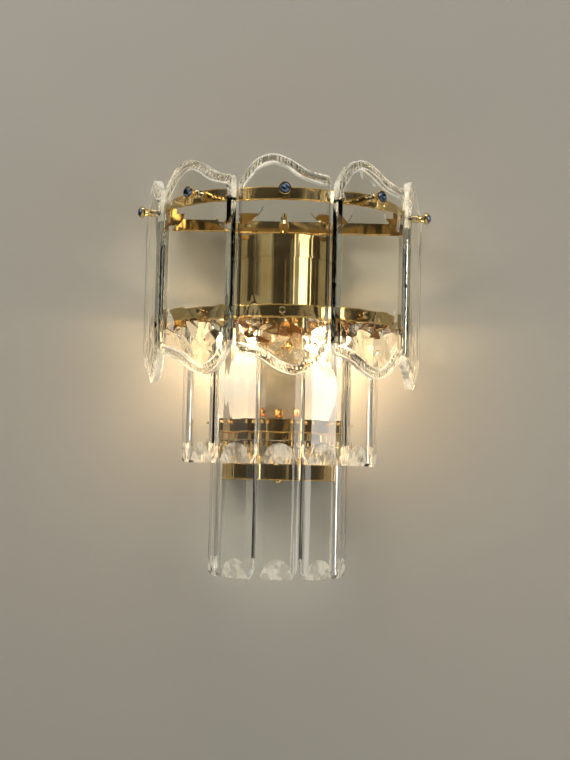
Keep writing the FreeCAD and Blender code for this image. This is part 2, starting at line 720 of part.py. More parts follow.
def carrier_bolt():
    """The long bolt up through the lower drum, and the domed nut on it."""
    body = turned("carrier_bolt_body", [
        ("0", "low_drum_bottom - bolt_head_height"),
        ("bolt_head_radius * 0.7", "low_drum_bottom - bolt_head_height"),
        ("bolt_head_radius", "low_drum_bottom - bolt_head_height * 0.4"),
        ("bolt_head_radius", "low_drum_bottom"),
        ("drum_bolt_radius", "low_drum_bottom"),
        ("drum_bolt_radius", "nut_inside_z"),
        ("0", "nut_inside_z"),
    ])
    node(place(body, "0", "-drum_axis_y"), "carrier_bolt")
    bore = "drum_bolt_radius + screw_clearance"
    nut = turned("carrier_nut_body", [
        (bore, "carrier_top"),
        ("carrier_nut_radius", "carrier_top"),
        ("carrier_nut_radius", "carrier_top + carrier_nut_height * 0.35"),
        ("carrier_nut_radius * 0.92", "nut_inside_z"),
        ("carrier_nut_radius * 0.68", "carrier_top + carrier_nut_height * 0.84"),
        ("carrier_nut_radius * 0.35", "carrier_top + carrier_nut_height * 0.97"),
        ("0", "carrier_top + carrier_nut_height"),
        ("0", "nut_inside_z + seat_clearance"),
        (bore, "nut_inside_z + seat_clearance"),
    ])
    node(place(nut, "0", "-drum_axis_y"), "carrier_nut")


# ---- crystal plates ---------------------------------------------------------------------

# The top edge of a plate, left to right as the viewer sees it: how far along the half width
# each point lies, and how far up the wave. The bottom edge is the same line turned half round.
WAVE_POINTS = [(-1.0, 0.1), (-0.9, 0.37), (-0.66, 0.79), (-0.3, 1.0), (0.08, 0.86),
               (0.46, 0.55), (0.82, 0.39), (0.95, 0.35), (1.0, 0.22)]


def plate_face():
    """The plate's outline in its own upright plane, at the ring axis, middle at the sheet's height."""
    half_width = number_of("plate_width") / 2
    half_height = number_of("plate_height") / 2
    wave = number_of("plate_wave")
    middle = number_of("plate_middle")
    top = [FreeCAD.Vector(u * half_width, 0, half_height - wave * (1 - rise)) for u, rise in WAVE_POINTS]
    bottom = [FreeCAD.Vector(-p.x, 0, -p.z) for p in top]
    edges = []
    for line, other in ((top, bottom), (bottom, top)):
        curve = Part.BSplineCurve()
        curve.interpolate(line)
        edges.append(curve.toShape())
        edges.append(Part.makeLine(line[-1], other[0]))
    face = Part.Face(Part.Wire(edges))
    face.translate(FreeCAD.Vector(0, 0, middle))
    return face


def plate_master():
    """One bevelled plate, drilled for its stud, standing at its distance from the ring axis."""
    face = plate_face()
    face.translate(FreeCAD.Vector(0, -number_of("plate_back"), 0))
    slab = face.extrude(FreeCAD.Vector(0, -number_of("plate_thickness"), 0))
    level = 0.001
    rims = [edge for edge in slab.Edges if edge.BoundBox.YLength < level]
    slab = slab.makeChamfer(number_of("plate_bevel"), rims)
    blank = doc.addObject("Part::Feature", "plate_blank")
    blank.Shape = slab
    drill = cylinder("plate_drill", "rod_radius + rod_play", "ring_radius * 2", "0", "0", "stud_height",
                     TO_VIEWER)
    return cut("plate_master", blank, [drill])


def crystal_plates():
    for index, plate in enumerate(at_plates("plate", plate_master())):
        node(plate, "crystal_plate_%d" % (index + 1))


def plate_fittings():
    """The studs that carry the plates: rod, spacer, collar and glass cap, and the lower bumper."""
    head = cylinder("rod_head", "rod_head_radius", "rod_head_height", "0",
                    "-(ring_inside - rod_head_height - seat_clearance)", "stud_height", TO_VIEWER)
    shank = cylinder("rod_shank", "rod_radius", "plate_front + collar_length - ring_inside + rod_head_height",
                     "0", "-(ring_inside - rod_head_height)", "stud_height", TO_VIEWER)
    rod = fuse("stud_rod_master", [head, shank])
    node(group("stud_rod_set", at_plates("stud_rod", rod)), "stud_rods")

    sleeve = cylinder("spacer_sleeve", "spacer_radius", "plate_standoff", "0", "-ring_radius", "stud_height",
                      TO_VIEWER)
    bore = cylinder("spacer_bore", "rod_radius + bore_clearance", "plate_standoff * 3", "0",
                    "-ring_radius + plate_standoff", "stud_height", TO_VIEWER)
    spacer = cut("spacer_master", sleeve, [bore])
    node(group("spacer_set", at_plates("spacer", spacer)), "stud_spacers")

    turned_collar = turned("collar_body", [
        ("rod_radius + bore_clearance", "0"),
        ("collar_radius * 0.72", "0"),
        ("collar_radius * 0.72", "collar_length * 0.15"),
        ("collar_radius * 0.56", "collar_length * 0.25"),
        ("collar_radius * 0.6", "collar_length * 0.5"),
        ("collar_radius * 0.75", "collar_length * 0.75"),
        ("collar_radius", "collar_length * 0.9"),
        ("collar_radius", "collar_length"),
        ("rod_radius + bore_clearance", "collar_length"),
    ])
    place(turned_collar, "0", "-plate_front", "stud_height", TO_VIEWER)
    node(group("collar_set", at_plates("collar", turned_collar)), "stud_collars")

    bead = ball("cap_bead", "stud_cap_radius", "0", "-plate_front - collar_length + stud_cap_sink",
                "stud_height")
    behind = cylinder("cap_behind", "stud_cap_radius * 2", "stud_cap_radius * 2", "0",
                      "-plate_front - collar_length", "stud_height", TO_WALL)
    stud_cap = cut("stud_cap_master", bead, [behind])
    node(group("stud_cap_set", at_plates("stud_cap", stud_cap)), "stud_caps")

    bumper = turned("bumper_body", [
        ("0", "0"),
        ("bumper_radius * 0.6", "0"),
        ("bumper_radius", "plate_standoff * 0.25"),
        ("bumper_radius", "plate_standoff * 0.7"),
        ("bumper_radius * 0.6", "plate_standoff"),
        ("0", "plate_standoff"),
    ])
    place(bumper, "0", "-ring_radius", "lower_ring_middle", TO_VIEWER)
    node(group("bumper_set", at_plates("bumper", bumper, "0")), "plate_bumpers")


# ---- hanging bars -----------------------------------------------------------------------


def bar_master(name, length, radius, top):
    """A flat crystal bar: bevelled edges, cut lower corners, a fan scooped out of the foot, two holes."""
    body = new_body(name + "_blank")
    half = "bar_width / 2"
    section = outline(body, name + "_section", "XY_Plane", [
        ("-" + half, "bar_thickness / 2"),
        (half, "bar_thickness / 2"),
        (half, "-bar_thickness / 2 + bar_bevel_depth"),
        (half + " - bar_bevel_width", "-bar_thickness / 2"),
        ("-%s + bar_bevel_width" % half, "-bar_thickness / 2"),
        ("-" + half, "-bar_thickness / 2 + bar_bevel_depth"),
    ])
    pad(body, section, length, backwards=True)
    for sign in (-1, 1):
        corner_cut = outline(body, "%s_corner_%d" % (name, sign > 0), "XZ_Plane", [
            ("%d * (%s - bar_corner_width)" % (sign, half), "-" + length),
            ("%d * %s" % (sign, half), "-%s + bar_corner_height" % length),
            ("%d * (%s + cut_over)" % (sign, half), "-%s + bar_corner_height" % length),
            ("%d * (%s + cut_over)" % (sign, half), "-%s - cut_over" % length),
            ("%d * (%s - bar_corner_width)" % (sign, half), "-%s - cut_over" % length),
        ])
        pocket_through(body, corner_cut)
    holes = circles(body, name + "_holes", "XZ_Plane",
                    [("%d * bar_hole_spacing / 2" % sign, "-bar_hole_drop", "bar_hole_radius")
                     for sign in (-1, 1)])
    pocket_through(body, holes)
    place(body, "0", "-" + radius, top)
    scoop = ball(name + "_scoop", "foot_ball_radius", "0",
                 "-%s - bar_thickness / 2 - foot_ball_radius + foot_depth" % radius,
                 "%s - %s" % (top, length))
    return cut(name + "_footed", body, [scoop])


def wire(name, x, start, runs):
    """Round wire with square bends in one upright plane. The start is (distance from the axis, height),
    and each run is (way, distance, height), the way it goes and where it ends."""
    distance, height = start
    pieces = []
    for index, (way, far_distance, far_height) in enumerate(runs):
        turn, length = {
            "down": (DOWN, "%s - (%s)" % (height, far_height)),
            "up": (None, "%s - (%s)" % (far_height, height)),
            "in": (TO_WALL, "%s - (%s)" % (distance, far_distance)),
            "out": (TO_VIEWER, "%s - (%s)" % (far_distance, distance)),
        }[way]
        spot = "%s_%d" % (name, index)
        pieces.append(cylinder(spot + "_run", "pin_radius", length, x, "-(%s)" % distance, height, turn))
        pieces.append(ball(spot + "_bend", "pin_radius", x, "-(%s)" % far_distance, far_height))
        distance, height = far_distance, far_height
    return pieces


def pin_pair(name, start, down_to, bar_radius, bar_top):
    """Two wire pins with ball heads: in from the ball, behind the bar, out through its hole and up."""
    behind = "%s - bar_thickness / 2 - pin_side_gap - pin_radius" % bar_radius
    front = "%s + bar_thickness / 2 + pin_side_gap + pin_radius" % bar_radius
    through = "%s - bar_hole_drop + bar_hole_radius - pin_radius - pin_bar_gap" % bar_top
    runs = [("down", start[0], down_to)] if down_to != start[1] else []
    runs += [("in", behind, down_to), ("down", behind, through), ("out", front, through),
             ("up", front, through + " + pin_tail")]
    pins = []
    for sign, side in ((-1, "left"), (1, "right")):
        x = "%d * bar_hole_spacing / 2" % sign
        pin = "%s_%s" % (name, side)
        head = ball(pin + "_head", "pin_ball_radius", x, "-(%s)" % start[0], start[1])
        pins.append(fuse(pin, wire(pin, x, start, runs) + [head]))
    return group(name + "_master", pins)


def hang(tier, bar, pins):
    """Copies of a bar and its pins round the ring axis, each as two nodes."""
    count = int(number_of(tier + "_bar_count"))
    for master, word in ((bar, "bar"), (pins, "pins")):
        copies = round_the_axis("%s_%s" % (tier, word), master, count, tier + "_bar_pitch")
        for index, copy in enumerate(copies):
            node(copy, "%s_%s_%d" % (tier, word, index + 1))


def middle_tier():
    bar = bar_master("mid_bar", "mid_bar_length", "mid_bar_radius", "mid_bar_top")
    under_ledge = "mid_bar_top + (bar_drop - ledge_thickness) / 2"
    hang("mid", bar, pin_pair("mid_pin", ("mid_bar_radius", "mid_ball_z"), under_ledge, "mid_bar_radius",
                              "mid_bar_top"))


def bottom_tier():
    bar = bar_master("low_bar", "low_bar_length", "low_bar_radius", "low_bar_top")
    hang("low", bar, pin_pair("low_pin", ("low_ball_radius", "low_ball_z"), "low_ball_z", "low_bar_radius",
                              "low_bar_top"))


# ---- lamps ------------------------------------------------------------------------------


def at_lamps(name, master):
    """The same piece at both lamp places."""
    pair = []
    for sign in (-1, 1):
        copy = doc.addObject("Part::Compound", "%s_%d" % (name, sign > 0))
        copy.Links = [master]
        place(copy, "%d * lamp_x" % sign, "-ring_axis_y - lamp_y")
        pair.append(copy)
    return group(name + "_pair", pair)


# The candle bulb's glass, as (share of its height, share of its swell) up to the widest part
# and (share of its height, share of its radius) from there to the tip.
GLOBE_NECK = [(0.0, 0.0), (0.13, 0.3), (0.28, 0.78), (0.42, 1.0)]
GLOBE_FLAME = [(0.55, 0.94), (0.7, 0.7), (0.84, 0.4), (0.94, 0.19)]


def lamps():
    """Lampholders hung in the carrier by their flanges, with a candle bulb in each."""
    bottom = "holder_top - holder_length"
    holder = turned("holder_body", [
        ("0", bottom),
        ("holder_radius * 0.8", bottom),
        ("holder_radius", bottom + " + holder_radius * 0.25"),
        ("holder_radius", "carrier_top"),
        ("holder_flange_radius", "carrier_top"),
        ("holder_flange_radius", "carrier_top + holder_flange"),
        ("holder_radius", "carrier_top + holder_flange * 1.4"),
        ("holder_radius", "holder_top - holder_radius * 0.08"),
        ("holder_radius * 0.92", "holder_top"),
        ("holder_bore_radius", "holder_top"),
        ("holder_bore_radius", "holder_bore_z"),
        ("0", "holder_bore_z"),
    ])
    node(at_lamps("holder", holder), "lampholders")

    tip = "globe_seat - bulb_cap_length"
    cap = turned("bulb_cap_body", [
        ("0", tip),
        ("bulb_cap_radius * 0.4", tip),
        ("bulb_cap_radius * 0.9", tip + " + bulb_cap_length * 0.12"),
        ("bulb_cap_radius", tip + " + bulb_cap_length * 0.16"),
        ("bulb_cap_radius", "globe_seat"),
        ("0", "globe_seat"),
    ])
    node(at_lamps("bulb_cap", cap), "bulb_caps")

    swell = "(globe_radius - globe_neck_radius)"
    outer = []
    inner = []
    for rise, share in GLOBE_NECK:
        outer.append(("globe_neck_radius + %s * %s" % (share, swell),
                      "globe_seat + %s * globe_height" % rise))
    for rise, share in GLOBE_FLAME:
        outer.append(("globe_radius * %s" % share, "globe_seat + %s * globe_height" % rise))
    for index, (radius, height) in enumerate(outer):
        lift = " + globe_wall" if index == 0 else ""
        inner.append((radius + " - globe_wall", height + lift))
    outer.append(("0", "globe_seat + globe_height"))
    inner.append(("0", "globe_seat + globe_height - 3 * globe_wall"))
    globe = turned("globe_body", outer + [("0", "globe_seat")])
    hollow = turned("globe_hollow", inner + [("0", "globe_seat + globe_wall")])
    shell = cut("globe_shell", globe, [hollow])
    node(at_lamps("bulb_globe", shell), "bulb_globes")

    foot = "globe_seat + globe_wall"
    core = turned("filament_body", [
        ("0", foot),
        ("filament_radius", foot),
        ("filament_radius", foot + " + filament_radius * 0.75"),
        ("filament_radius * 0.5", foot + " + filament_radius * 1.25"),
        ("filament_radius * 0.5", foot + " + filament_height"),
        ("0", foot + " + filament_height + filament_radius * 0.5"),
    ])
    node(at_lamps("filament", core), "bulb_filaments")


# ---- build, check and write -------------------------------------------------------------


def write_nodes():
    """Refuses anything failed or empty, then writes each sub-part's solids."""
    for thing in doc.Objects:
        if "Invalid" in thing.State or "Error" in thing.State:
            raise RuntimeError("%s did not build: %s" % (thing.Name, thing.State))
    os.makedirs(NODE_FOLDER, exist_ok=True)
    for thing in NODES:
        shape = thing.Shape
        if shape.isNull() or not shape.isValid() or not shape.Solids:
            raise RuntimeError("%s has no sound shape" % thing.Label)
        shape.exportStep("%s/%s.step" % (NODE_FOLDER, thing.Label))
        bounds = shape.BoundBox
        print("%-20s %2d solids  x %7.1f %7.1f  y %7.1f %7.1f  z %7.1f %7.1f" % (
            thing.Label, len(shape.Solids), bounds.XMin, bounds.XMax, bounds.YMin, bounds.YMax,
            bounds.ZMin, bounds.ZMax))


wall_pan()
mounting_strap()
cap_nuts()
electrical_pieces()
frame_screws()
upper_ring()
back_bar("upper_back", "upper_back_bar", "upper_ring_bottom - ring_height", "upper_ring_bottom + ring_height",
         "upper_ring_bottom - back_bar_screw_drop")
lower_ring()
back_bar("lower_back", "lower_back_bar", "lower_ring_bottom", "lower_ring_bottom + ring_height",
         "lower_ring_middle")
hanger_ledge()
lower_hanger_ring()
upper_drum()
upper_drum_cap()
drum_arms()
finial()
lower_drum()
lamp_carrier()
carrier_bolt()
crystal_plates()
plate_fittings()
middle_tier()
bottom_tier()
lamps()
doc.recompute()
write_nodes()
print("%d nodes" % len(NODES))
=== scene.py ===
import json
import math
import random

import bmesh
import bpy
from mathutils import Matrix, Vector, kdtree, noise


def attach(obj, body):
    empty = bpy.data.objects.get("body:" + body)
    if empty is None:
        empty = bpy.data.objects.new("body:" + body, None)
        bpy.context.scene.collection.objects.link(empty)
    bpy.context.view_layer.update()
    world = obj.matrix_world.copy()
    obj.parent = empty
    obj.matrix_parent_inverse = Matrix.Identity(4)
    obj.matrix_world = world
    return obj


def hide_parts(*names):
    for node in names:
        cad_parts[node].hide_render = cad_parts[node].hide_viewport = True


# A crystal wall sconce: waved crystal plates on studs round a gold half ring, two tiers of flat
# crystal bars on wire pins, a gold drum above and below, and two candle bulbs between them.
# Places and sizes below are in millimetres in the CAD frame, and become metres in each mesh.

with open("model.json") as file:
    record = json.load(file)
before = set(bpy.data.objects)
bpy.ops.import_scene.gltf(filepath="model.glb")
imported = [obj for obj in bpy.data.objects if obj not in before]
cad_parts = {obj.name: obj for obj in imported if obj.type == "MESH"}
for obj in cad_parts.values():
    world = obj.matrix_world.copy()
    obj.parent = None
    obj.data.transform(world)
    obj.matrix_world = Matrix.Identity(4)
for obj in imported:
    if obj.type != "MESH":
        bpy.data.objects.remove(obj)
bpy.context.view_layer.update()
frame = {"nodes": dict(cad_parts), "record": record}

MM = 0.001

# the half rings and the drums stand round one upright axis
RING_AXIS = Vector((0.0, -20.0, 0.0))
RING_RADIUS = 117.0
HANGER_RADIUS = 64.5
LOW_DRUM_RADIUS = 57.0

# the crystal plates, which stand side by side round the rings
PLATE_COUNT = 5
PLATE_BACK = 124.0
PLATE_THICKNESS = 12.0
PLATE_HALF_WIDTH = 42.75
PLATE_HALF_SPACING = 43.3
PLATE_HALF_HEIGHT = 103.0
PLATE_MIDDLE = 71.0
PLATE_WAVE = 31.0
PLATE_PITCH = 2 * math.atan(PLATE_HALF_SPACING / PLATE_BACK)
END_PLATE_DROP = 5.0

# the stud through each plate, and the gem on its end
STUD_HEIGHT = 139.0
ROD_PLAY_RADIUS = 3.0
COLLAR_END = 146.0
GEM_RADIUS = 5.1
GEM_DEPTH = 4.2
BEZEL_RADIUS = 5.85
BEZEL_HEIGHT = 1.6
BEZEL_GAP = 0.05

# the straight bar behind the upper half ring
BACK_BAR_FRONT = -19.9
BACK_BAR_FOOT = 121.5
BACK_BAR_REACH = 104.0
BACK_BAR_LINE = 0.6

# the two candle bulbs
LAMP_X = 38.5
LAMP_Y = -39.0
GLOBE_SEAT = -71.8
GLOBE_HEIGHT = 74.0

# the hanging bars, all cut alike, in two tiers
BAR_HALF_WIDTH = 20.0
BAR_HALF_DEPTH = 4.0
BAR_HALF_SPACING = 20.365
MID_BAR_COUNT = 7
MID_BAR_RADIUS = 94.0
MID_BAR_TOP = 27.0
MID_BAR_LENGTH = 141.5
MID_BAR_PITCH = 2 * math.atan(BAR_HALF_SPACING / (MID_BAR_RADIUS - BAR_HALF_DEPTH))
LOW_BAR_COUNT = 5
LOW_BAR_RADIUS = 63.75
LOW_BAR_TOP = -91.0
LOW_BAR_LENGTH = 135.0
LOW_BAR_PITCH = 2 * math.atan(BAR_HALF_SPACING / (LOW_BAR_RADIUS - BAR_HALF_DEPTH))


# ---- materials --------------------------------------------------------------------------


def linear(hex_code, alpha=1.0):
    """An sRGB hex colour as the linear values that a shader takes."""
    channels = [int(hex_code[i:i + 2], 16) / 255 for i in (1, 3, 5)]
    return [c / 12.92 if c <= 0.04045 else ((c + 0.055) / 1.055) ** 2.4 for c in channels] + [alpha]


def add(tree, kind, inputs=None, **settings):
    """Adds a node, sets it, and fills its sockets with values or links."""
    made = tree.nodes.new("ShaderNode" + kind)
    for name, value in settings.items():
        setattr(made, name, value)
    for name, value in (inputs or {}).items():
        if isinstance(value, bpy.types.NodeSocket):
            tree.links.new(value, made.inputs[name])
        else:
            made.inputs[name].default_value = value
    return made


def new_material(name):
    """An empty material and its node tree."""
    material = bpy.data.materials.new(name)
    material.use_nodes = True
    material.node_tree.nodes.clear()
    return material, material.node_tree


def object_point(tree):
    """Where a point lies on its piece, in metres."""
    return add(tree, "TexCoord").outputs["Object"]


def plated_metal(name, colour, shade, roughness):
    """Plating on polished steel, gold or another: a mirror with a faint ripple and duller patches."""
    material, tree = new_material(name)
    point = object_point(tree)
    # the sheet's ripple is about 18 mm long, the handling haze about 30 mm
    ripple = add(tree, "TexNoise", {"Vector": point, "Scale": 1 / (18 * MM), "Detail": 1.0})
    haze = add(tree, "TexNoise", {"Vector": point, "Scale": 1 / (30 * MM), "Detail": 4.0})
    bump = add(tree, "Bump", {"Height": ripple.outputs["Fac"], "Strength": 0.06, "Distance": 0.6 * MM})
    tint = add(tree, "ValToRGB", {"Fac": haze.outputs["Fac"]})
    tint.color_ramp.elements[0].position = 0.3
    tint.color_ramp.elements[0].color = linear(shade)
    tint.color_ramp.elements[1].position = 0.7
    tint.color_ramp.elements[1].color = linear(colour)
    rough = add(tree, "MapRange", {
        "Value": haze.outputs["Fac"], "To Min": roughness * 0.6, "To Max": roughness * 1.5})
    shader = add(tree, "BsdfPrincipled", {
        "Base Color": tint.outputs["Color"], "Metallic": 1.0, "Roughness": rough.outputs["Result"],
        "Normal": bump.outputs["Normal"]})
    add(tree, "OutputMaterial", {"Surface": shader.outputs["BSDF"]})
    return material


def let_light_through(tree, shader, clear):
    """Glass that passes the lamps' light straight on, where a shadow ray would stop."""
    path = add(tree, "LightPath")
    open_way = add(tree, "BsdfTransparent", {"Color": linear(clear)})
    both = add(tree, "MixShader", {
        0: path.outputs["Is Shadow Ray"], 1: shader, 2: open_way.outputs["BSDF"]})
    add(tree, "OutputMaterial", {"Surface": both.outputs["Shader"]})


def cut_crystal(name, colour, line_mm, stretch, strength):
    """K9 lead-free crystal, ground and polished: water clear, with draw lines that run upright."""
    material, tree = new_material(name)
    point = object_point(tree)
    stretched = add(tree, "Mapping", {"Vector": point, "Scale": (1.0, 1.0, stretch)})
    draw = add(tree, "TexNoise", {
        "Vector": stretched.outputs["Vector"], "Scale": 1 / (line_mm * MM), "Detail": 1.0})
    bump = add(tree, "Bump", {
        "Height": draw.outputs["Fac"], "Strength": strength, "Distance": 0.6 * MM})
    shader = add(tree, "BsdfPrincipled", {
        "Base Color": linear(colour), "Roughness": 0.0, "IOR": 1.52, "Transmission Weight": 1.0,
        "Normal": bump.outputs["Normal"]})
    let_light_through(tree, shader.outputs["BSDF"], "#FAFBFA")
    return material


def ground_crystal(name, white, frost_share, patch_mm, grain, relief_mm):
    """Crystal that was knapped or ground: clear facets, broken by creamy frosted ones."""
    material, tree = new_material(name)
    point = object_point(tree)
    # the frosted places come in patches, with facets 2.6 mm across and ribs 1.3 mm apart
    patch = add(tree, "TexNoise", {"Vector": point, "Scale": 1 / (patch_mm * MM), "Detail": 1.0})
    facets = add(tree, "TexVoronoi", {"Vector": point, "Scale": 1 / (2.6 * MM)}, feature="F1")
    ribs = add(tree, "TexNoise", {"Vector": point, "Scale": 1 / (1.3 * MM), "Detail": 2.0})
    relief = add(tree, "Math", {0: facets.outputs["Distance"], 1: ribs.outputs["Fac"]}, operation="ADD")
    bump = add(tree, "Bump", {
        "Height": relief.outputs["Value"], "Strength": 0.6, "Distance": relief_mm * MM})
    glass = add(tree, "BsdfPrincipled", {
        "Base Color": linear("#F8F8F2"), "Roughness": 0.03, "IOR": 1.52, "Transmission Weight": 1.0,
        "Normal": bump.outputs["Normal"]})
    frost = add(tree, "BsdfPrincipled", {
        "Base Color": linear(white), "Roughness": 0.4, "IOR": 1.52, "Transmission Weight": 0.25,
        "Normal": bump.outputs["Normal"]})
    fine = add(tree, "MapRange", {
        "Value": ribs.outputs["Fac"], "From Min": 0.4, "From Max": 0.58, "To Min": 1 - grain})
    broad = add(tree, "MapRange", {
        "Value": patch.outputs["Fac"], "From Min": 0.42, "From Max": 0.58,
        "To Min": frost_share * 0.3, "To Max": frost_share})
    share = add(tree, "Math", {
        0: fine.outputs["Result"], 1: broad.outputs["Result"]}, operation="MULTIPLY")
    both = add(tree, "MixShader", {
        0: share.outputs["Value"], 1: glass.outputs["BSDF"], 2: frost.outputs["BSDF"]})
    let_light_through(tree, both.outputs["Shader"], "#DADCD4")
    return material


def tinted_glass(name, colour, clear):
    """Cut coloured glass, polished and foiled: almost black, with pale blue glints painted into its colour
    for the fire in its facets.
    """
    material, tree = new_material(name)
    # painted highlight: pale blue glints painted into the colour, each about 2.4 mm across
    painted_glint_cells = add(tree, "TexVoronoi", {
        "Vector": object_point(tree), "Scale": 1 / (2.4 * MM)}, feature="F1")
    tone = add(tree, "ValToRGB", {"Fac": painted_glint_cells.outputs["Color"]})
    tone.color_ramp.elements[0].position = 0.5
    tone.color_ramp.elements[0].color = linear(colour)
    tone.color_ramp.elements[1].position = 0.95
    tone.color_ramp.elements[1].color = linear(clear)
    shader = add(tree, "BsdfPrincipled", {
        "Base Color": tone.outputs["Color"], "Roughness": 0.03, "IOR": 1.6,
        "Transmission Weight": 0.2})
    let_light_through(tree, shader.outputs["BSDF"], clear)
    return material


def opal_bulb(strength):
    """The lit candle bulb's glass: frosted inside, so the whole flame glows in soft cream clouds."""
    material, tree = new_material("lit_bulb_glass")
    cloud = add(tree, "TexNoise", {
        "Vector": object_point(tree), "Scale": 1 / (14 * MM), "Detail": 2.0})
    tone = add(tree, "ValToRGB", {"Fac": cloud.outputs["Fac"]})
    tone.color_ramp.elements[0].color = linear("#FFE9C8")
    tone.color_ramp.elements[1].color = linear("#FFF6E6")
    shader = add(tree, "BsdfPrincipled", {
        "Base Color": linear("#B4AFA3"), "Roughness": 0.25, "IOR": 1.5,
        "Emission Color": tone.outputs["Color"], "Emission Strength": strength})
    let_light_through(tree, shader.outputs["BSDF"], "#FFF6E8")
    return material


def lit_core(strength):
    """The bulb's lamp column, which gives the light."""
    material, tree = new_material("lamp_column")
    bands = add(tree, "TexWave", {
        "Vector": object_point(tree), "Scale": 1 / (20 * MM)}, bands_direction="Z")
    tone = add(tree, "ValToRGB", {"Fac": bands.outputs["Fac"]})
    tone.color_ramp.elements[0].color = linear("#FFDDA6")
    tone.color_ramp.elements[1].color = linear("#FFF1D8")
    shader = add(tree, "BsdfPrincipled", {
        "Base Color": linear("#F5E6C2"), "Roughness": 0.5,
        "Emission Color": tone.outputs["Color"], "Emission Strength": strength})
    add(tree, "OutputMaterial", {"Surface": shader.outputs["BSDF"]})
    return material


def moulded(name, colour, shade, roughness, grain_mm, relief_mm):
    """A moulded or fired surface: an even colour with a fine grain in its tone and relief."""
    material, tree = new_material(name)
    grain = add(tree, "TexNoise", {
        "Vector": object_point(tree), "Scale": 1 / (grain_mm * MM), "Detail": 3.0})
    tone = add(tree, "ValToRGB", {"Fac": grain.outputs["Fac"]})
    tone.color_ramp.elements[0].color = linear(shade)
    tone.color_ramp.elements[1].color = linear(colour)
    bump = add(tree, "Bump", {
        "Height": grain.outputs["Fac"], "Strength": 0.3, "Distance": relief_mm * MM})
    shader = add(tree, "BsdfPrincipled", {
        "Base Color": tone.outputs["Color"], "Roughness": roughness,
        "Normal": bump.outputs["Normal"]})
    add(tree, "OutputMaterial", {"Surface": shader.outputs["BSDF"]})
    return material


FINISH = {
    "gold": plated_metal("polished_gold_plate", "#EBD39E", "#D3B378", 0.07),
    "pan_steel": plated_metal("polished_champagne_steel", "#E2DCCC", "#D0C8B5", 0.24),
    "gold_wire": plated_metal("gold_plated_wire", "#EFCF88", "#E0B968", 0.12),
    "copper": plated_metal("rose_gold_plate", "#E0A585", "#C9866A", 0.12),
    "brass": plated_metal("satin_brass", "#CFA75A", "#B68E45", 0.3),
    "zinc_steel": plated_metal("zinc_plated_steel", "#B9BDBF", "#A2A6AA", 0.35),
    "nickel": plated_metal("nickel_plated_cap", "#C6C2B8", "#ADA99F", 0.18),
    "white_plastic": moulded("glazed_porcelain", "#EDEAE0", "#E1DED2", 0.25, 3.0, 0.05),
    "black_rubber": moulded("black_rubber", "#1D1D1E", "#141415", 0.7, 0.8, 0.1),
    "lead_sleeve": moulded("lead_sleeve_pvc", "#D8D3C4", "#C7C2B3", 0.45, 2.0, 0.05),
    # the gem's pale blue second colour is its painted glints
    "blue_glass": tinted_glass("midnight_blue_glass", "#03040A", "#8FAEDB"),
    "crystal": cut_crystal("cut_crystal", "#F5F6EF", 9.0, 0.15, 0.05),
    "bulb_glass": opal_bulb(0.4),
    "lamp_core": lit_core(4.0),
}
CHIPPED = ground_crystal("chipped_crystal", "#EDE6D1", 0.75, 26.0, 0.6, 0.5)
# painted highlight: a frosted white finish for the bright lines along the bevel's edges
PAINTED_HIGHLIGHT_RIM = ground_crystal("rim_line_painted_highlight", "#FFFCF2", 1.0, 26.0, 0.3, 0.2)
FAN_CUT = ground_crystal("ground_fan", "#FFF9E8", 0.8, 11.0, 0.1, 0.02)
# the flutes between the rim's ribs send the light aside; their glass is painted darker than the plate's
# flat, as painted shade
PAINTED_SHADE_FLUTE = cut_crystal("fluted_crystal_painted_shade", "#8E9084", 1.5, 1.0, 0.5)
# the plates' polished long sides, and the fire-drawn crystal of the bars
SIDE = cut_crystal("polished_side_crystal", "#C6C9BD", 6.0, 0.03, 0.4)
DRAWN = cut_crystal("drawn_crystal", "#FBFCFA", 5.0, 0.02, 0.4)

for part in frame["record"]["subparts"]:
    for carried in frame["nodes"][part["node"]].material_slots:
        carried.material = FINISH[part["material_slot"]]


# ---- mesh helpers -----------------------------------------------------------------------


def finish_piece(name, bm, materials, body, replaced=(), sharp=math.radians(25)):
    """Turns a finished bmesh in millimetres into a piece that rides on a body."""
    bmesh.ops.remove_doubles(bm, verts=bm.verts, dist=0.001)
    bmesh.ops.recalc_face_normals(bm, faces=bm.faces)
    bmesh.ops.scale(bm, vec=(MM, MM, MM), verts=bm.verts)
    mesh = bpy.data.meshes.new(name)
    bm.to_mesh(mesh)
    bm.free()
    for face in mesh.polygons:
        face.use_smooth = True
    mesh.set_sharp_from_angle(angle=sharp)
    for material in materials:
        mesh.materials.append(material)
    piece = bpy.data.objects.new(name, mesh)
    bpy.context.scene.collection.objects.link(piece)
    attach(piece, body)
    if replaced:
        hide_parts(*replaced)
    return piece


def round_axis(angle):
    """From a piece made in front of the ring axis to its place at that angle round it."""
    return Matrix.Translation(RING_AXIS) @ Matrix.Rotation(angle, 4, "Z")


def plate_matrix(index):
    """From a piece made in front of the ring axis to its plate. The two end plates hang lower."""
    drop = END_PLATE_DROP if index in (0, PLATE_COUNT - 1) else 0.0
    return Matrix.Translation((0, 0, -drop)) @ round_axis(PLATE_PITCH * (index - (PLATE_COUNT - 1) / 2))


def smooth_through(points, u):
    """The height at u of a smooth line through points given in rising order."""
    for i in range(len(points) - 1):
        if u <= points[i + 1][0]:
            break
    (x0, y0), (x1, y1) = points[i], points[i + 1]
    before = points[max(i - 1, 0)]
    after = points[min(i + 2, len(points) - 1)]
    slope_0 = (y1 - before[1]) / (x1 - before[0])
    slope_1 = (after[1] - y0) / (after[0] - x0)
    span = x1 - x0
    t = (u - x0) / span
    return ((2 * t ** 3 - 3 * t ** 2 + 1) * y0 + (t ** 3 - 2 * t ** 2 + t) * span * slope_0
            + (-2 * t ** 3 + 3 * t ** 2) * y1 + (t ** 3 - t ** 2) * span * slope_1)


# ---- crystal plates ---------------------------------------------------------------------

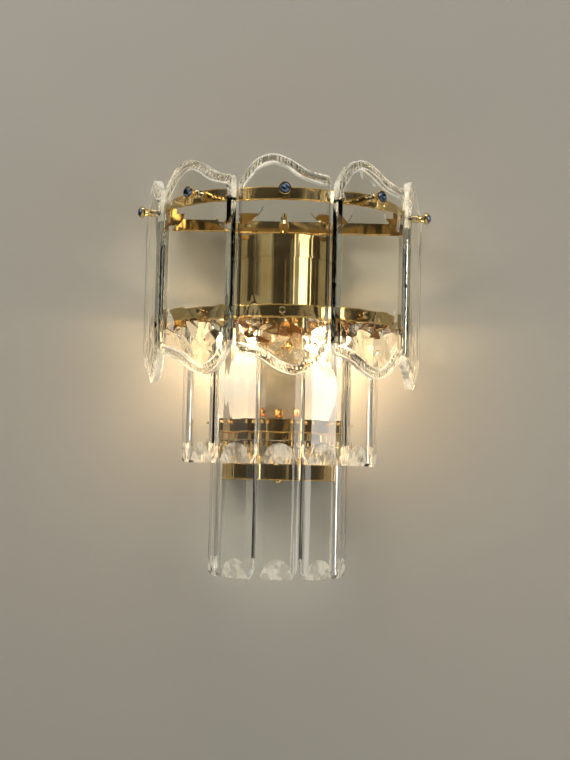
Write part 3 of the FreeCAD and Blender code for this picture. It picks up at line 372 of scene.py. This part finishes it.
# how far along the half width, and how far up the wave
WAVE = [(-1.0, 0.1), (-0.9, 0.37), (-0.66, 0.79), (-0.3, 1.0), (0.08, 0.86), (0.46, 0.55),
        (0.82, 0.39), (0.95, 0.35), (1.0, 0.22)]
# the grid of a plate's face, and the cuts through its thickness
PLATE_COLUMNS = 120
PLATE_ROWS = 220
PLATE_LAYERS = 6
# the rim's bevel, how far it reaches in from the waved ends and from the long sides, and its ribs
BEVEL_DEPTH = 2.4
BEVEL_REACH = 8.5
SIDE_REACH = 3.6
MOST_SLANT = 1.5
RIM_PITCH = 3.1
RIM_RELIEF = 1.3
RIM_LEAN = 0.07
RIM_JITTER = 0.7
# the outer and the inner painted highlight line, frosted white strips along the bevel's edges, and the
# start of the flat face, as shares of the bevel
OUTER_LINE = 0.1
INNER_LINE = 0.93
FACE_START = 1.06
# how far from a rib's crest a flute starts, and how creamy a patch must be for its painted highlight line
# and its ribs
FLUTE_START = 0.72
CREAMY_LINE = -0.6
CREAMY_RIBS = -0.25
# how much of each plate's rim reads creamy, left to right
PLATE_FROST = (0.3, 0.3, -0.3, 0.0, 0.2)
# between these two heights the long sides are polished, and past them they are chipped
SIDE_CHIPS_TOP = 62.0
SIDE_CHIPS_FOOT = -72.0
# no scar reaches further than this, or leaves less of half the plate's thickness than this
WIDEST_FLAKE = 28.0
LEAST_HALF = 0.6
# how far in the middle of each wall is knapped, as a share of its distance from the plate's middle
CHIPPED_SIDE_WAIST = 0.028
PLAIN_SIDE_WAIST = 0.004
END_WAIST = 0.012
# each plate has its own random draws, and its own place in the noise
PLATE_SEED = 40
PLATE_NOISE_STEP = 40.0
FROST_NOISE_STEP = 30.0


def plate_top(x):
    """The upper waved edge's height at x, from the plate's middle."""
    return PLATE_HALF_HEIGHT - PLATE_WAVE * (1 - min(smooth_through(WAVE, x / PLATE_HALF_WIDTH), 1.0))


def plate_bottom(x):
    """The lower waved edge, which is the upper one turned half round."""
    return -plate_top(-x)


def slant(edge, x):
    """How many times its square distance a way straight up from the waved edge is, at x."""
    left, right = max(x - 0.5, -PLATE_HALF_WIDTH), min(x + 0.5, PLATE_HALF_WIDTH)
    return min(math.hypot(1, (edge(right) - edge(left)) / (right - left)), MOST_SLANT)


def flakes(spots):
    """Flat-sided flake scars, each a shallow pyramid sunk in the face.
    A spot is (x, z, reach, depth, sides, turn)."""
    tree = kdtree.KDTree(len(spots))
    shapes = []
    for index, (x, z, reach, depth, sides, turn) in enumerate(spots):
        ways = [(math.cos(turn + math.tau * k / sides), math.sin(turn + math.tau * k / sides))
                for k in range(sides)]
        shapes.append((x, z, reach, depth, ways))
        tree.insert((x, 0.0, z), index)
    tree.balance()
    return tree, shapes


def flake_depth(field, x, z):
    """How deep the deepest scar is at a point."""
    tree, shapes = field
    deepest = 0.0
    for spot, index, distance in tree.find_range((x, 0.0, z), WIDEST_FLAKE):
        middle_x, middle_z, reach, depth, ways = shapes[index]
        out = max(way[0] * (x - middle_x) + way[1] * (z - middle_z) for way in ways)
        deepest = max(deepest, depth * (1 - out / reach))
    return deepest


def scattered(draw, low, high, count, reach, depth):
    """Broad scars over a band of the face, which break up what is seen through it."""
    return [(draw.uniform(-PLATE_HALF_WIDTH, PLATE_HALF_WIDTH), draw.uniform(low, high),
             draw.uniform(*reach), draw.uniform(*depth), draw.randint(3, 5), draw.uniform(0, math.tau))
            for i in range(count)]


def corner_flakes(draw):
    """One large flat facet in each upper corner."""
    return [(side * (PLATE_HALF_WIDTH + 4), SIDE_CHIPS_TOP + draw.uniform(-6, 8),
             draw.uniform(22, 26), 3.0, 3, draw.uniform(0, math.tau)) for side in (-1, 1)]


def chips(draw, spacing):
    """Small chips here and there along the whole rim."""
    spots = []
    for edge in (plate_top, plate_bottom):
        x = -PLATE_HALF_WIDTH
        while x < PLATE_HALF_WIDTH:
            spots.append((x, edge(x) + draw.uniform(-1.0, 1.0), draw.uniform(2.5, 5.0),
                          BEVEL_DEPTH + draw.uniform(0.4, 1.6), draw.randint(3, 5),
                          draw.uniform(0, math.tau)))
            x += spacing * draw.uniform(0.6, 1.4)
    for step in range(int(2 * PLATE_HALF_HEIGHT / spacing)):
        z = -PLATE_HALF_HEIGHT + step * spacing
        for side in (-1, 1):
            spot = (side * (PLATE_HALF_WIDTH + draw.uniform(-0.4, 0.8)),
                    z + draw.uniform(-2.0, 2.0), draw.uniform(2.2, 4.6),
                    BEVEL_DEPTH + draw.uniform(0.0, 1.2), draw.randint(3, 5),
                    draw.uniform(0, math.tau))
            if not is_plain(z, True):
                spots.append(spot)
    return spots


def on_plate(u, v):
    """Where a point of the unit grid lies on the plate's face, with the rows along the waved ends.
    Also how far inside the outline it is, as a share of the bevel, how far along the rim it is, and
    whether it is nearer to a long side than to an end."""
    x = u * PLATE_HALF_WIDTH
    up = (v + 1) * PLATE_HALF_HEIGHT
    down = 2 * PLATE_HALF_HEIGHT - up
    low, high = plate_bottom(x), plate_top(x)
    low_rise = BEVEL_REACH * slant(plate_bottom, x)
    high_rise = BEVEL_REACH * slant(plate_top, x)
    if up < BEVEL_REACH:
        z = low + up / BEVEL_REACH * low_rise
    elif down < BEVEL_REACH:
        z = high - down / BEVEL_REACH * high_rise
    else:
        share = (up - BEVEL_REACH) / (2 * (PLATE_HALF_HEIGHT - BEVEL_REACH))
        z = low + low_rise + share * (high - high_rise - low - low_rise)
    end = min(up, down) / BEVEL_REACH
    side = (PLATE_HALF_WIDTH - abs(x)) / SIDE_REACH
    on_side = side < end
    return x, z, min(end, side), (z if on_side else x), on_side


def rib_wave(inside, along, jitter):
    """The ribs across the bevel, which lean a little: 0 on a crest, 1 in the flute between two."""
    turns = along / RIM_PITCH + RIM_LEAN * inside * BEVEL_REACH + jitter
    return abs(math.sin(math.pi * turns))


def is_plain(z, on_side):
    """The long sides are polished between their chipped ends."""
    return on_side and SIDE_CHIPS_FOOT < z < SIDE_CHIPS_TOP


def rim_cut(inside, wave, plain):
    """How deep the bevel is. Its ribs die out at both of its edges."""
    if inside >= 1:
        return 0.0
    ribs = 0.0 if plain else RIM_RELIEF * wave * math.sin(math.pi * min(inside + 0.12, 1.0))
    return BEVEL_DEPTH * (1 - inside) + ribs


def plate_blank():
    """A unit block of quads: its face from -1 to 1 both ways, and its thickness from 0 to 1."""
    bm = bmesh.new()
    bmesh.ops.create_grid(bm, x_segments=PLATE_COLUMNS, y_segments=PLATE_ROWS, size=1.0)
    grown = bmesh.ops.extrude_face_region(bm, geom=bm.faces[:])
    for made in grown["geom"]:
        if isinstance(made, bmesh.types.BMVert):
            made.co.z = 1.0
    walls = [e for e in bm.edges if abs(e.verts[0].co.z - e.verts[1].co.z) > 0.5]
    bmesh.ops.subdivide_edges(bm, edges=walls, cuts=PLATE_LAYERS, use_grid_fill=True)
    return bm


def plate_scars(draw):
    """The scars of the front face and of the back face, whose lower end is broken up like ice."""
    front = flakes(chips(draw, 8.0) + scattered(draw, -101, -60, 7, (9, 15), (0.5, 1.3)))
    back = flakes(chips(draw, 9.0) + corner_flakes(draw)
                  + scattered(draw, -103, -48, 26, (9, 17), (1.2, 3.0))
                  + scattered(draw, 84, 103, 3, (8, 13), (0.8, 1.6)))
    return front, back


def carve(bm, index, front_scars, back_scars):
    """Gives the block the plate's outline, bevel, ribs and scars.
    Returns each point's share of the bevel, its place in the ribs' wave and whether it is plain."""
    half = PLATE_THICKNESS / 2
    deepest = half - LEAST_HALF
    own_noise = PLATE_NOISE_STEP * index
    rims = {}
    for vert in bm.verts:
        u, v, depth = vert.co
        x, z, inside, along, on_side = on_plate(u, v)
        jitter = RIM_JITTER * noise.noise(Vector((x, 0.0, z)) * 0.11 + Vector((0, own_noise, 0)))
        wave = rib_wave(inside, along, jitter)
        plain = is_plain(z, on_side)
        rim = rim_cut(inside, wave, plain)
        front = half - min(max(rim, flake_depth(front_scars, x, z)), deepest)
        rear = half - min(max(rim, flake_depth(back_scars, x, z)), deepest)
        y = -front + depth * (front + rear)
        if 0.001 < depth < 0.999:
            # the walls are knapped a little inwards
            rough = noise.noise(Vector((x, y * 1.5, z)) * 0.35 + Vector((0, 0, own_noise)))
            ragged = 0.5 + 0.5 * rough
            side_waist = PLAIN_SIDE_WAIST if plain else CHIPPED_SIDE_WAIST
            x *= 1 - side_waist * ragged * math.sin(math.pi * depth)
            z *= 1 - END_WAIST * ragged * math.sin(math.pi * depth)
        rims[vert] = (inside, wave, plain)
        vert.co = (x, y, z)
    return rims


def crystal_plate(index):
    """A thick crystal plate with waved ends, a ribbed and chipped rim and broad flake scars."""
    bm = plate_blank()
    front_scars, back_scars = plate_scars(random.Random(PLATE_SEED + index))
    rims = carve(bm, index, front_scars, back_scars)
    for face in bm.faces:
        corners = [rims[v] for v in face.verts]
        inside = sum(c[0] for c in corners) / len(corners)
        wave = sum(c[1] for c in corners) / len(corners)
        plain = any(c[2] for c in corners)
        face.material_index = rim_finish(inside, wave, plain, face.calc_center_median(), index)
    bore_plate(bm)
    out = Vector((0, -(PLATE_BACK + PLATE_THICKNESS / 2), PLATE_MIDDLE))
    bmesh.ops.translate(bm, vec=out, verts=bm.verts)
    bmesh.ops.transform(bm, matrix=plate_matrix(index), verts=bm.verts)
    name = "crystal_plate_%d" % (index + 1)
    finishes = [FINISH["crystal"], CHIPPED, PAINTED_HIGHLIGHT_RIM, PAINTED_SHADE_FLUTE, SIDE]
    finish_piece(name + "_cut", bm, finishes, "frame", [name])


def rim_finish(inside, wave, plain, middle, index):
    """Which finish a face has: 0 polished, 1 chipped, 2 a painted highlight line of frosted white along
    each edge of the bevel,
    3 a flute in darker glass, as painted shade, 4 a polished long side."""
    own_noise = Vector((0, FROST_NOISE_STEP * index, 0))
    creamy = noise.noise(middle * 0.05 + own_noise) + PLATE_FROST[index]
    if inside > FACE_START:
        return 0
    if plain:
        return 4
    # painted highlight: frosted white lines along the outer edge and the inner crease of the bevel
    if inside < OUTER_LINE or (inside > INNER_LINE and creamy > CREAMY_LINE):
        return 2
    # flutes take the darker glass, which is painted shade
    if wave > FLUTE_START:
        return 3
    return 1 if creamy > CREAMY_RIBS else 0


def bore_plate(bm):
    """Cuts the stud's hole: the faces over it go, and the two openings are bridged by a round wall."""
    centre_z = STUD_HEIGHT - PLATE_MIDDLE
    near = []
    for face in bm.faces:
        middle = face.calc_center_median()
        if math.hypot(middle.x, middle.z - centre_z) < ROD_PLAY_RADIUS:
            near.append(face)
    bmesh.ops.delete(bm, geom=near, context="FACES")
    rims = [e for e in bm.edges if e.is_boundary]
    for edge in rims:
        for vert in edge.verts:
            way = Vector((vert.co.x, 0, vert.co.z - centre_z)).normalized() * ROD_PLAY_RADIUS
            vert.co.x = way.x
            vert.co.z = centre_z + way.z
    bmesh.ops.bridge_loops(bm, edges=rims)


for plate in range(PLATE_COUNT):
    crystal_plate(plate)


# ---- hanging bars -----------------------------------------------------------------------

BAR_FLAT = 13.0
BAR_BEVEL_DEPTH = 2.4
BAR_EDGE_BREAK = 0.35
CORNER_WIDTH = 5.5
CORNER_HEIGHT = 9.5
FOOT_LIP = -0.6
RIB_DEPTH = 0.45
BAR_HOLE_X = 12.0
BAR_HOLE_DROP = 6.0
BAR_HOLE_RADIUS = 1.2
# the fan cut out of the foot: the right half of its arch, as (across, up from the foot)
FAN_ARCH = [(16.0, 2.6), (13.0, 9.5), (11.5, 14.5), (6.5, 18.4), (0.0, 20.0)]


def bar_front(x):
    """The depth of the bar's front at x, on its flat or on its bevel."""
    past = max(abs(x) - BAR_FLAT, 0.0)
    return -BAR_HALF_DEPTH + BAR_BEVEL_DEPTH * past / (BAR_HALF_WIDTH - BAR_FLAT)


def fan_rows(bm, length):
    """The fan's three rows of points, left to right: its arch, its ribbed middle and its foot."""
    corners = [(-x, z) for x, z in FAN_ARCH] + FAN_ARCH[-2::-1]
    arch = [corners[0]]
    for (x0, z0), (x1, z1) in zip(corners, corners[1:]):
        arch += [((x0 + x1) / 2, (z0 + z1) / 2), (x1, z1)]
    last = len(arch) - 1
    rows = [[], [], []]
    for i, (x, z) in enumerate(arch):
        low_x = (BAR_HALF_WIDTH - CORNER_WIDTH) * (2 * i / last - 1)
        rib = RIB_DEPTH * (-1) ** i
        rows[0].append(bm.verts.new((x, bar_front(x), z - length)))
        middle_y = (bar_front(x) + FOOT_LIP) / 2 + rib
        rows[1].append(bm.verts.new(((x + low_x) / 2, middle_y, z / 2 - length)))
        rows[2].append(bm.verts.new((low_x, FOOT_LIP + rib / 2, -length)))
    return rows


def bar_blank(length):
    """A bar with its top's middle at the origin: bevelled front, cut corners and a fan in its foot."""
    bm = bmesh.new()
    arch, middle, bottom = fan_rows(bm, length)
    for above, below in ((arch, middle), (middle, bottom)):
        for i in range(len(above) - 1):
            bm.faces.new((above[i], above[i + 1], below[i + 1])).material_index = 1
            bm.faces.new((above[i], below[i + 1], below[i])).material_index = 1
    corner_z = CORNER_HEIGHT - length
    side_y = bar_front(BAR_HALF_WIDTH)
    flats, tops, turns, back_tops, back_turns, back_feet = [], [], [], [], [], []
    for side, ends in ((-1, (0, 1, 2)), (1, (-1, -2, -3))):
        edge = side * BAR_HALF_WIDTH
        flat = bm.verts.new((side * BAR_FLAT, -BAR_HALF_DEPTH, 0))
        top = bm.verts.new((edge, side_y, 0))
        turn = bm.verts.new((edge, side_y, corner_z))
        back_top = bm.verts.new((edge, BAR_HALF_DEPTH, 0))
        back_turn = bm.verts.new((edge, BAR_HALF_DEPTH, corner_z))
        back_foot = bm.verts.new((edge - side * CORNER_WIDTH, BAR_HALF_DEPTH, -length))
        bm.faces.new([flat, top, turn] + [arch[i] for i in ends])
        bm.faces.new((turn, back_turn, back_foot, bottom[ends[0]], middle[ends[0]], arch[ends[0]]))
        bm.faces.new((top, back_top, back_turn, turn))
        for made, row in ((flat, flats), (top, tops), (turn, turns), (back_top, back_tops),
                          (back_turn, back_turns), (back_foot, back_feet)):
            row.append(made)
    bm.faces.new(flats + arch[-3:1:-1])
    bm.faces.new(back_tops + [back_turns[1], back_feet[1], back_feet[0], back_turns[0]])
    bm.faces.new(bottom + [back_feet[1], back_feet[0]])
    bm.faces.new((flats[0], flats[1], tops[1], back_tops[1], back_tops[0], tops[0]))
    bmesh.ops.recalc_face_normals(bm, faces=bm.faces)
    fan = set(middle) | set(bottom)
    long_edges = [e for e in bm.edges
                  if not fan & set(e.verts) and e.calc_face_angle() > math.radians(15)]
    bmesh.ops.bevel(bm, geom=long_edges, offset=BAR_EDGE_BREAK, affect="EDGES", segments=1,
                    profile=0.5, material=-1)
    return bm


def as_object(name, bm):
    """A spare object with the bars' two finishes, for a boolean cut."""
    mesh = bpy.data.meshes.new(name)
    bm.to_mesh(mesh)
    bm.free()
    for material in (DRAWN, FAN_CUT):
        mesh.materials.append(material)
    made = bpy.data.objects.new(name, mesh)
    bpy.context.scene.collection.objects.link(made)
    return made


def drilled(name, bm, holes):
    """The blank's mesh with the holes' solids taken out of it."""
    blank = as_object(name, bm)
    drill = as_object(name + "_drill", holes)
    boolean = blank.modifiers.new("holes", "BOOLEAN")
    boolean.operation = "DIFFERENCE"
    boolean.solver = "EXACT"
    boolean.object = drill
    bpy.context.view_layer.update()
    whole = blank.evaluated_get(bpy.context.evaluated_depsgraph_get())
    result = bpy.data.meshes.new_from_object(whole)
    for spare in (blank, drill):
        bpy.data.objects.remove(spare)
    return result


def pin_holes():
    """The two drills for the wire pins' holes, right through the bar."""
    bm = bmesh.new()
    through = Matrix.Rotation(math.pi / 2, 4, "X")
    for side in (-1, 1):
        place = Matrix.Translation((side * BAR_HOLE_X, 0, -BAR_HOLE_DROP)) @ through
        bmesh.ops.create_cone(bm, cap_ends=True, segments=16, radius1=BAR_HOLE_RADIUS,
                              radius2=BAR_HOLE_RADIUS, depth=BAR_HALF_DEPTH * 4, matrix=place)
    return bm


def hanging_bars(tier, count, pitch, radius, top, length):
    """One tier of bars round the ring axis, each on its own swinging body."""
    bar = drilled(tier + "_bar_blank", bar_blank(length), pin_holes())
    for index in range(count):
        bm = bmesh.new()
        bm.from_mesh(bar)
        bmesh.ops.translate(bm, vec=(0, -radius, top), verts=bm.verts)
        place = round_axis(pitch * (index - (count - 1) / 2))
        bmesh.ops.transform(bm, matrix=place, verts=bm.verts)
        name = "%s_bar_%d" % (tier, index + 1)
        body = "%s_hanger_%d" % (tier, index + 1)
        finish_piece(name + "_cut", bm, [DRAWN, FAN_CUT], body, [name],
                     sharp=math.radians(8))


hanging_bars("mid", MID_BAR_COUNT, MID_BAR_PITCH, MID_BAR_RADIUS, MID_BAR_TOP, MID_BAR_LENGTH)
hanging_bars("low", LOW_BAR_COUNT, LOW_BAR_PITCH, LOW_BAR_RADIUS, LOW_BAR_TOP, LOW_BAR_LENGTH)


# ---- turned and swept pieces ------------------------------------------------------------


def spin_profile(bm, profile, steps, matrix):
    """Turns (radius, height) corners round the upright line through the origin, then places them."""
    verts = [bm.verts.new((radius, 0, height)) for radius, height in profile]
    edges = [bm.edges.new(pair) for pair in zip(verts, verts[1:])]
    before = set(bm.verts) - set(verts)
    bmesh.ops.spin(bm, geom=verts + edges, cent=(0, 0, 0), axis=(0, 0, 1), angle=math.tau, steps=steps,
                   use_merge=True, use_duplicate=False)
    made = [v for v in bm.verts if v not in before]
    bmesh.ops.transform(bm, matrix=matrix, verts=made)


# from the turning axis to the end of the stud's collar, pointing outwards
ON_COLLAR = Matrix.Translation((0, -COLLAR_END, STUD_HEIGHT)) @ Matrix.Rotation(math.pi / 2, 4, "X")
GEM_SIDES = 10
BEZEL_STEPS = 32


def stud_gems():
    """A faceted dark blue gem on each stud."""
    bm = bmesh.new()
    profile = [(0.0, 0.0), (GEM_RADIUS, 0.0), (GEM_RADIUS, GEM_DEPTH * 0.2),
               (GEM_RADIUS * 0.86, GEM_DEPTH * 0.6), (GEM_RADIUS * 0.5, GEM_DEPTH), (0.0, GEM_DEPTH)]
    for index in range(PLATE_COUNT):
        spin_profile(bm, profile, GEM_SIDES, plate_matrix(index) @ ON_COLLAR)
    finish_piece("stud_gems", bm, [FINISH["blue_glass"]], "frame", ["stud_caps"])


def gem_bezels():
    """The thin gold rim that holds each gem."""
    bm = bmesh.new()
    inner = GEM_RADIUS + BEZEL_GAP
    profile = [(inner, BEZEL_GAP), (BEZEL_RADIUS, BEZEL_GAP), (BEZEL_RADIUS, BEZEL_HEIGHT * 0.8),
               (inner + 0.3, BEZEL_HEIGHT), (inner, BEZEL_HEIGHT), (inner, BEZEL_GAP)]
    for index in range(PLATE_COUNT):
        spin_profile(bm, profile, BEZEL_STEPS, plate_matrix(index) @ ON_COLLAR)
    finish_piece("gem_bezels", bm, [FINISH["gold_wire"]], "frame")


# (share of the height, radius) of the candle bulb's glass
FLAME = [(0.0, 8.0), (0.13, 10.9), (0.28, 15.4), (0.42, 17.5), (0.55, 16.5), (0.7, 12.3),
         (0.84, 7.0), (0.94, 3.3), (1.0, 0.0)]
FLAME_STEPS = 40


def candle_bulbs():
    """Two flame-shaped bulbs with an even, smooth swell."""
    profile = [(0.0, 0.0)]
    for step in range(FLAME_STEPS):
        share = step / FLAME_STEPS
        profile.append((smooth_through(FLAME, share), share * GLOBE_HEIGHT))
    profile.append((0.0, GLOBE_HEIGHT))
    bm = bmesh.new()
    for side in (-1, 1):
        place = Matrix.Translation((side * LAMP_X, LAMP_Y, GLOBE_SEAT))
        spin_profile(bm, profile, FLAME_STEPS, place)
    finish_piece("candle_bulbs", bm, [FINISH["bulb_glass"]], "frame", ["bulb_globes"],
                 sharp=math.radians(50))


def edge_line(name, radius, height, thickness):
    """A thin bright line along a half round band's edge: half a ring of round wire, closed at its ends."""
    bm = bmesh.new()
    start = Matrix.Translation((radius, 0, 0)) @ Matrix.Rotation(math.pi / 2, 4, "X")
    bmesh.ops.create_circle(bm, cap_ends=True, radius=thickness, segments=10, matrix=start)
    bmesh.ops.spin(bm, geom=bm.faces[:], cent=(0, 0, 0), axis=(0, 0, 1), angle=-math.pi, steps=72,
                   use_duplicate=False)
    bmesh.ops.holes_fill(bm, edges=[e for e in bm.edges if e.is_boundary])
    bmesh.ops.translate(bm, vec=RING_AXIS + Vector((0, 0, height)), verts=bm.verts)
    finish_piece(name, bm, [FINISH["gold_wire"]], "frame", sharp=math.radians(60))


def back_bar_line():
    """The bright lower edge of the straight bar behind the upper half ring."""
    bm = bmesh.new()
    along = Matrix.Rotation(math.pi / 2, 4, "Y")
    place = Matrix.Translation((0, BACK_BAR_FRONT, BACK_BAR_FOOT)) @ along
    bmesh.ops.create_cone(bm, cap_ends=True, segments=10, radius1=BACK_BAR_LINE,
                          radius2=BACK_BAR_LINE, depth=2 * BACK_BAR_REACH, matrix=place)
    long_edges = [e for e in bm.edges if abs(e.verts[0].co.x - e.verts[1].co.x) > 1]
    bmesh.ops.subdivide_edges(bm, edges=long_edges, cuts=8)
    finish_piece("back_bar_line", bm, [FINISH["gold_wire"]], "frame",
                 sharp=math.radians(60))


stud_gems()
gem_bezels()
back_bar_line()
candle_bulbs()
# the radius and height of each line, and how thick its wire is
for line_name, line_radius, line_height, line_wire in (
        ("upper_ring_lower_line", RING_RADIUS, 133.4, 0.8),
        ("upper_ring_upper_line", RING_RADIUS, 144.7, 0.5),
        ("lower_ring_lower_line", RING_RADIUS, 22.9, 0.8),
        ("lower_ring_upper_line", RING_RADIUS, 34.2, 0.5),
        ("hanger_ring_lower_line", HANGER_RADIUS, -83.1, 0.7),
        ("lower_drum_lower_line", LOW_DRUM_RADIUS, -129.6, 0.7)):
    edge_line(line_name, line_radius, line_height, line_wire)


# ---- stage, light and camera ------------------------------------------------------------


def backdrop_material(name, colour, one_sided):
    """Plain matt paint. The wall is open from behind, to the eye and to the rear lamp's light."""
    material, tree = new_material(name)
    mottle = add(tree, "TexNoise", {"Vector": object_point(tree), "Scale": 1.5, "Detail": 2.0})
    tone = add(tree, "ValToRGB", {"Fac": mottle.outputs["Fac"]})
    tone.color_ramp.elements[0].color = [c * 0.96 for c in linear(colour)[:3]] + [1.0]
    tone.color_ramp.elements[1].color = linear(colour)
    paint = add(tree, "BsdfPrincipled", {"Base Color": tone.outputs["Color"], "Roughness": 0.6})
    surface = paint.outputs["BSDF"]
    if one_sided:
        side = add(tree, "NewGeometry")
        path = add(tree, "LightPath")
        open_way = add(tree, "Math", {0: side.outputs["Backfacing"], 1: path.outputs["Is Shadow Ray"]},
                       operation="MAXIMUM")
        nothing = add(tree, "BsdfTransparent")
        surface = add(tree, "MixShader", {0: open_way.outputs["Value"], 1: surface,
                                          2: nothing.outputs["BSDF"]}).outputs["Shader"]
    add(tree, "OutputMaterial", {"Surface": surface})
    return material


def stage_plane(name, size, matrix, material):
    """A flat square of the stage, in metres."""
    bm = bmesh.new()
    bmesh.ops.create_grid(bm, x_segments=1, y_segments=1, size=size)
    bmesh.ops.transform(bm, matrix=matrix, verts=bm.verts)
    mesh = bpy.data.meshes.new(name)
    bm.to_mesh(mesh)
    bm.free()
    mesh.materials.append(material)
    plane = bpy.data.objects.new(name, mesh)
    bpy.context.scene.collection.objects.link(plane)


WALL_Y = 0.0006
FLOOR_Z = -0.9
UPRIGHT = Matrix.Rotation(math.radians(90), 4, "X")
stage_plane("backdrop", 3.0, Matrix.Translation((0, WALL_Y, 0)) @ UPRIGHT,
            backdrop_material("grey_wall_paint", "#9F9C93", True))
stage_plane("floor", 4.0, Matrix.Translation((0, 0, FLOOR_Z)),
            backdrop_material("pale_floor", "#D9D8D4", False))


def area_light(name, place, aim, size, watts, colour):
    """A soft rectangular lamp that looks at a point."""
    data = bpy.data.lights.new(name, "AREA")
    data.shape = "RECTANGLE"
    data.size, data.size_y = size
    data.energy = watts
    data.color = linear(colour)[:3]
    light = bpy.data.objects.new(name, data)
    light.location = place
    light.rotation_euler = (Vector(aim) - Vector(place)).to_track_quat("-Z", "Y").to_euler()
    bpy.context.scene.collection.objects.link(light)


OBJECT_MIDDLE = (0, -0.06, 0)
area_light("key", (-1.1, -1.5, 1.15), OBJECT_MIDDLE, (0.9, 0.9), 20, "#FFFAF2")
area_light("fill", (1.4, -1.3, 0.15), OBJECT_MIDDLE, (0.7, 1.2), 12, "#FFFAF2")
area_light("top", (0, -0.6, 1.6), OBJECT_MIDDLE, (1.2, 0.5), 6, "#FFFFFF")
area_light("rear", (0.5, 1.2, 0.7), OBJECT_MIDDLE, (0.9, 0.9), 7, "#FFFFFF")


def bulb_glow(name, x, share, watts):
    """Light of a lit bulb at a share of its height: warm, and strong on the wall close behind."""
    data = bpy.data.lights.new(name, "POINT")
    data.shadow_soft_size = 6 * MM
    data.energy = watts
    data.color = linear("#FFDDB0")[:3]
    light = bpy.data.objects.new(name, data)
    light.location = (x * MM, LAMP_Y * MM, (GLOBE_SEAT + GLOBE_HEIGHT * share) * MM)
    bpy.context.scene.collection.objects.link(light)


for side_name, lamp_x in (("left", -LAMP_X), ("right", LAMP_X)):
    bulb_glow(side_name + "_bulb_glow", lamp_x, 0.67, 0.25)
    bulb_glow(side_name + "_bulb_tip_glow", lamp_x, 1.14, 0.5)

world = bpy.data.worlds.new("studio")
bpy.context.scene.world = world
world.use_nodes = True
sky = world.node_tree
sky.nodes.clear()
# the room in front: dark behind the viewer, with a pale window band to each side
bands = add(sky, "TexWave", {"Vector": add(sky, "TexCoord").outputs["Generated"], "Scale": 0.26,
                             "Distortion": 0.8}, bands_direction="X")
room = add(sky, "ValToRGB", {"Fac": bands.outputs["Fac"]})
room.color_ramp.elements[0].position = 0.5
room.color_ramp.elements[0].color = linear("#4A4843")
room.color_ramp.elements[1].position = 0.85
room.color_ramp.elements[1].color = linear("#D4D3CF")
level = add(sky, "Background", {"Color": room.outputs["Color"], "Strength": 0.7})
add(sky, "OutputWorld", {"Surface": level.outputs["Background"]})

camera_data = bpy.data.cameras.new("photo_camera")
camera_data.lens = 66.8
camera_data.sensor_width = 36.0
camera_data.clip_start = 0.05
camera_data.clip_end = 20.0
camera = bpy.data.objects.new("photo_camera", camera_data)
# the photo was taken from a little below the lamp's middle, with the picture slightly turned
yaw = Matrix.Rotation(math.radians(-0.175), 4, "Z")
pitch = Matrix.Rotation(math.radians(93.735), 4, "X")
roll = Matrix.Rotation(math.radians(1.3), 4, "Z")
camera.matrix_world = Matrix.Translation((0, -1.450, -0.122)) @ yaw @ pitch @ roll
bpy.context.scene.collection.objects.link(camera)
bpy.context.scene.camera = camera
bpy.context.scene.view_settings.view_transform = "Standard"
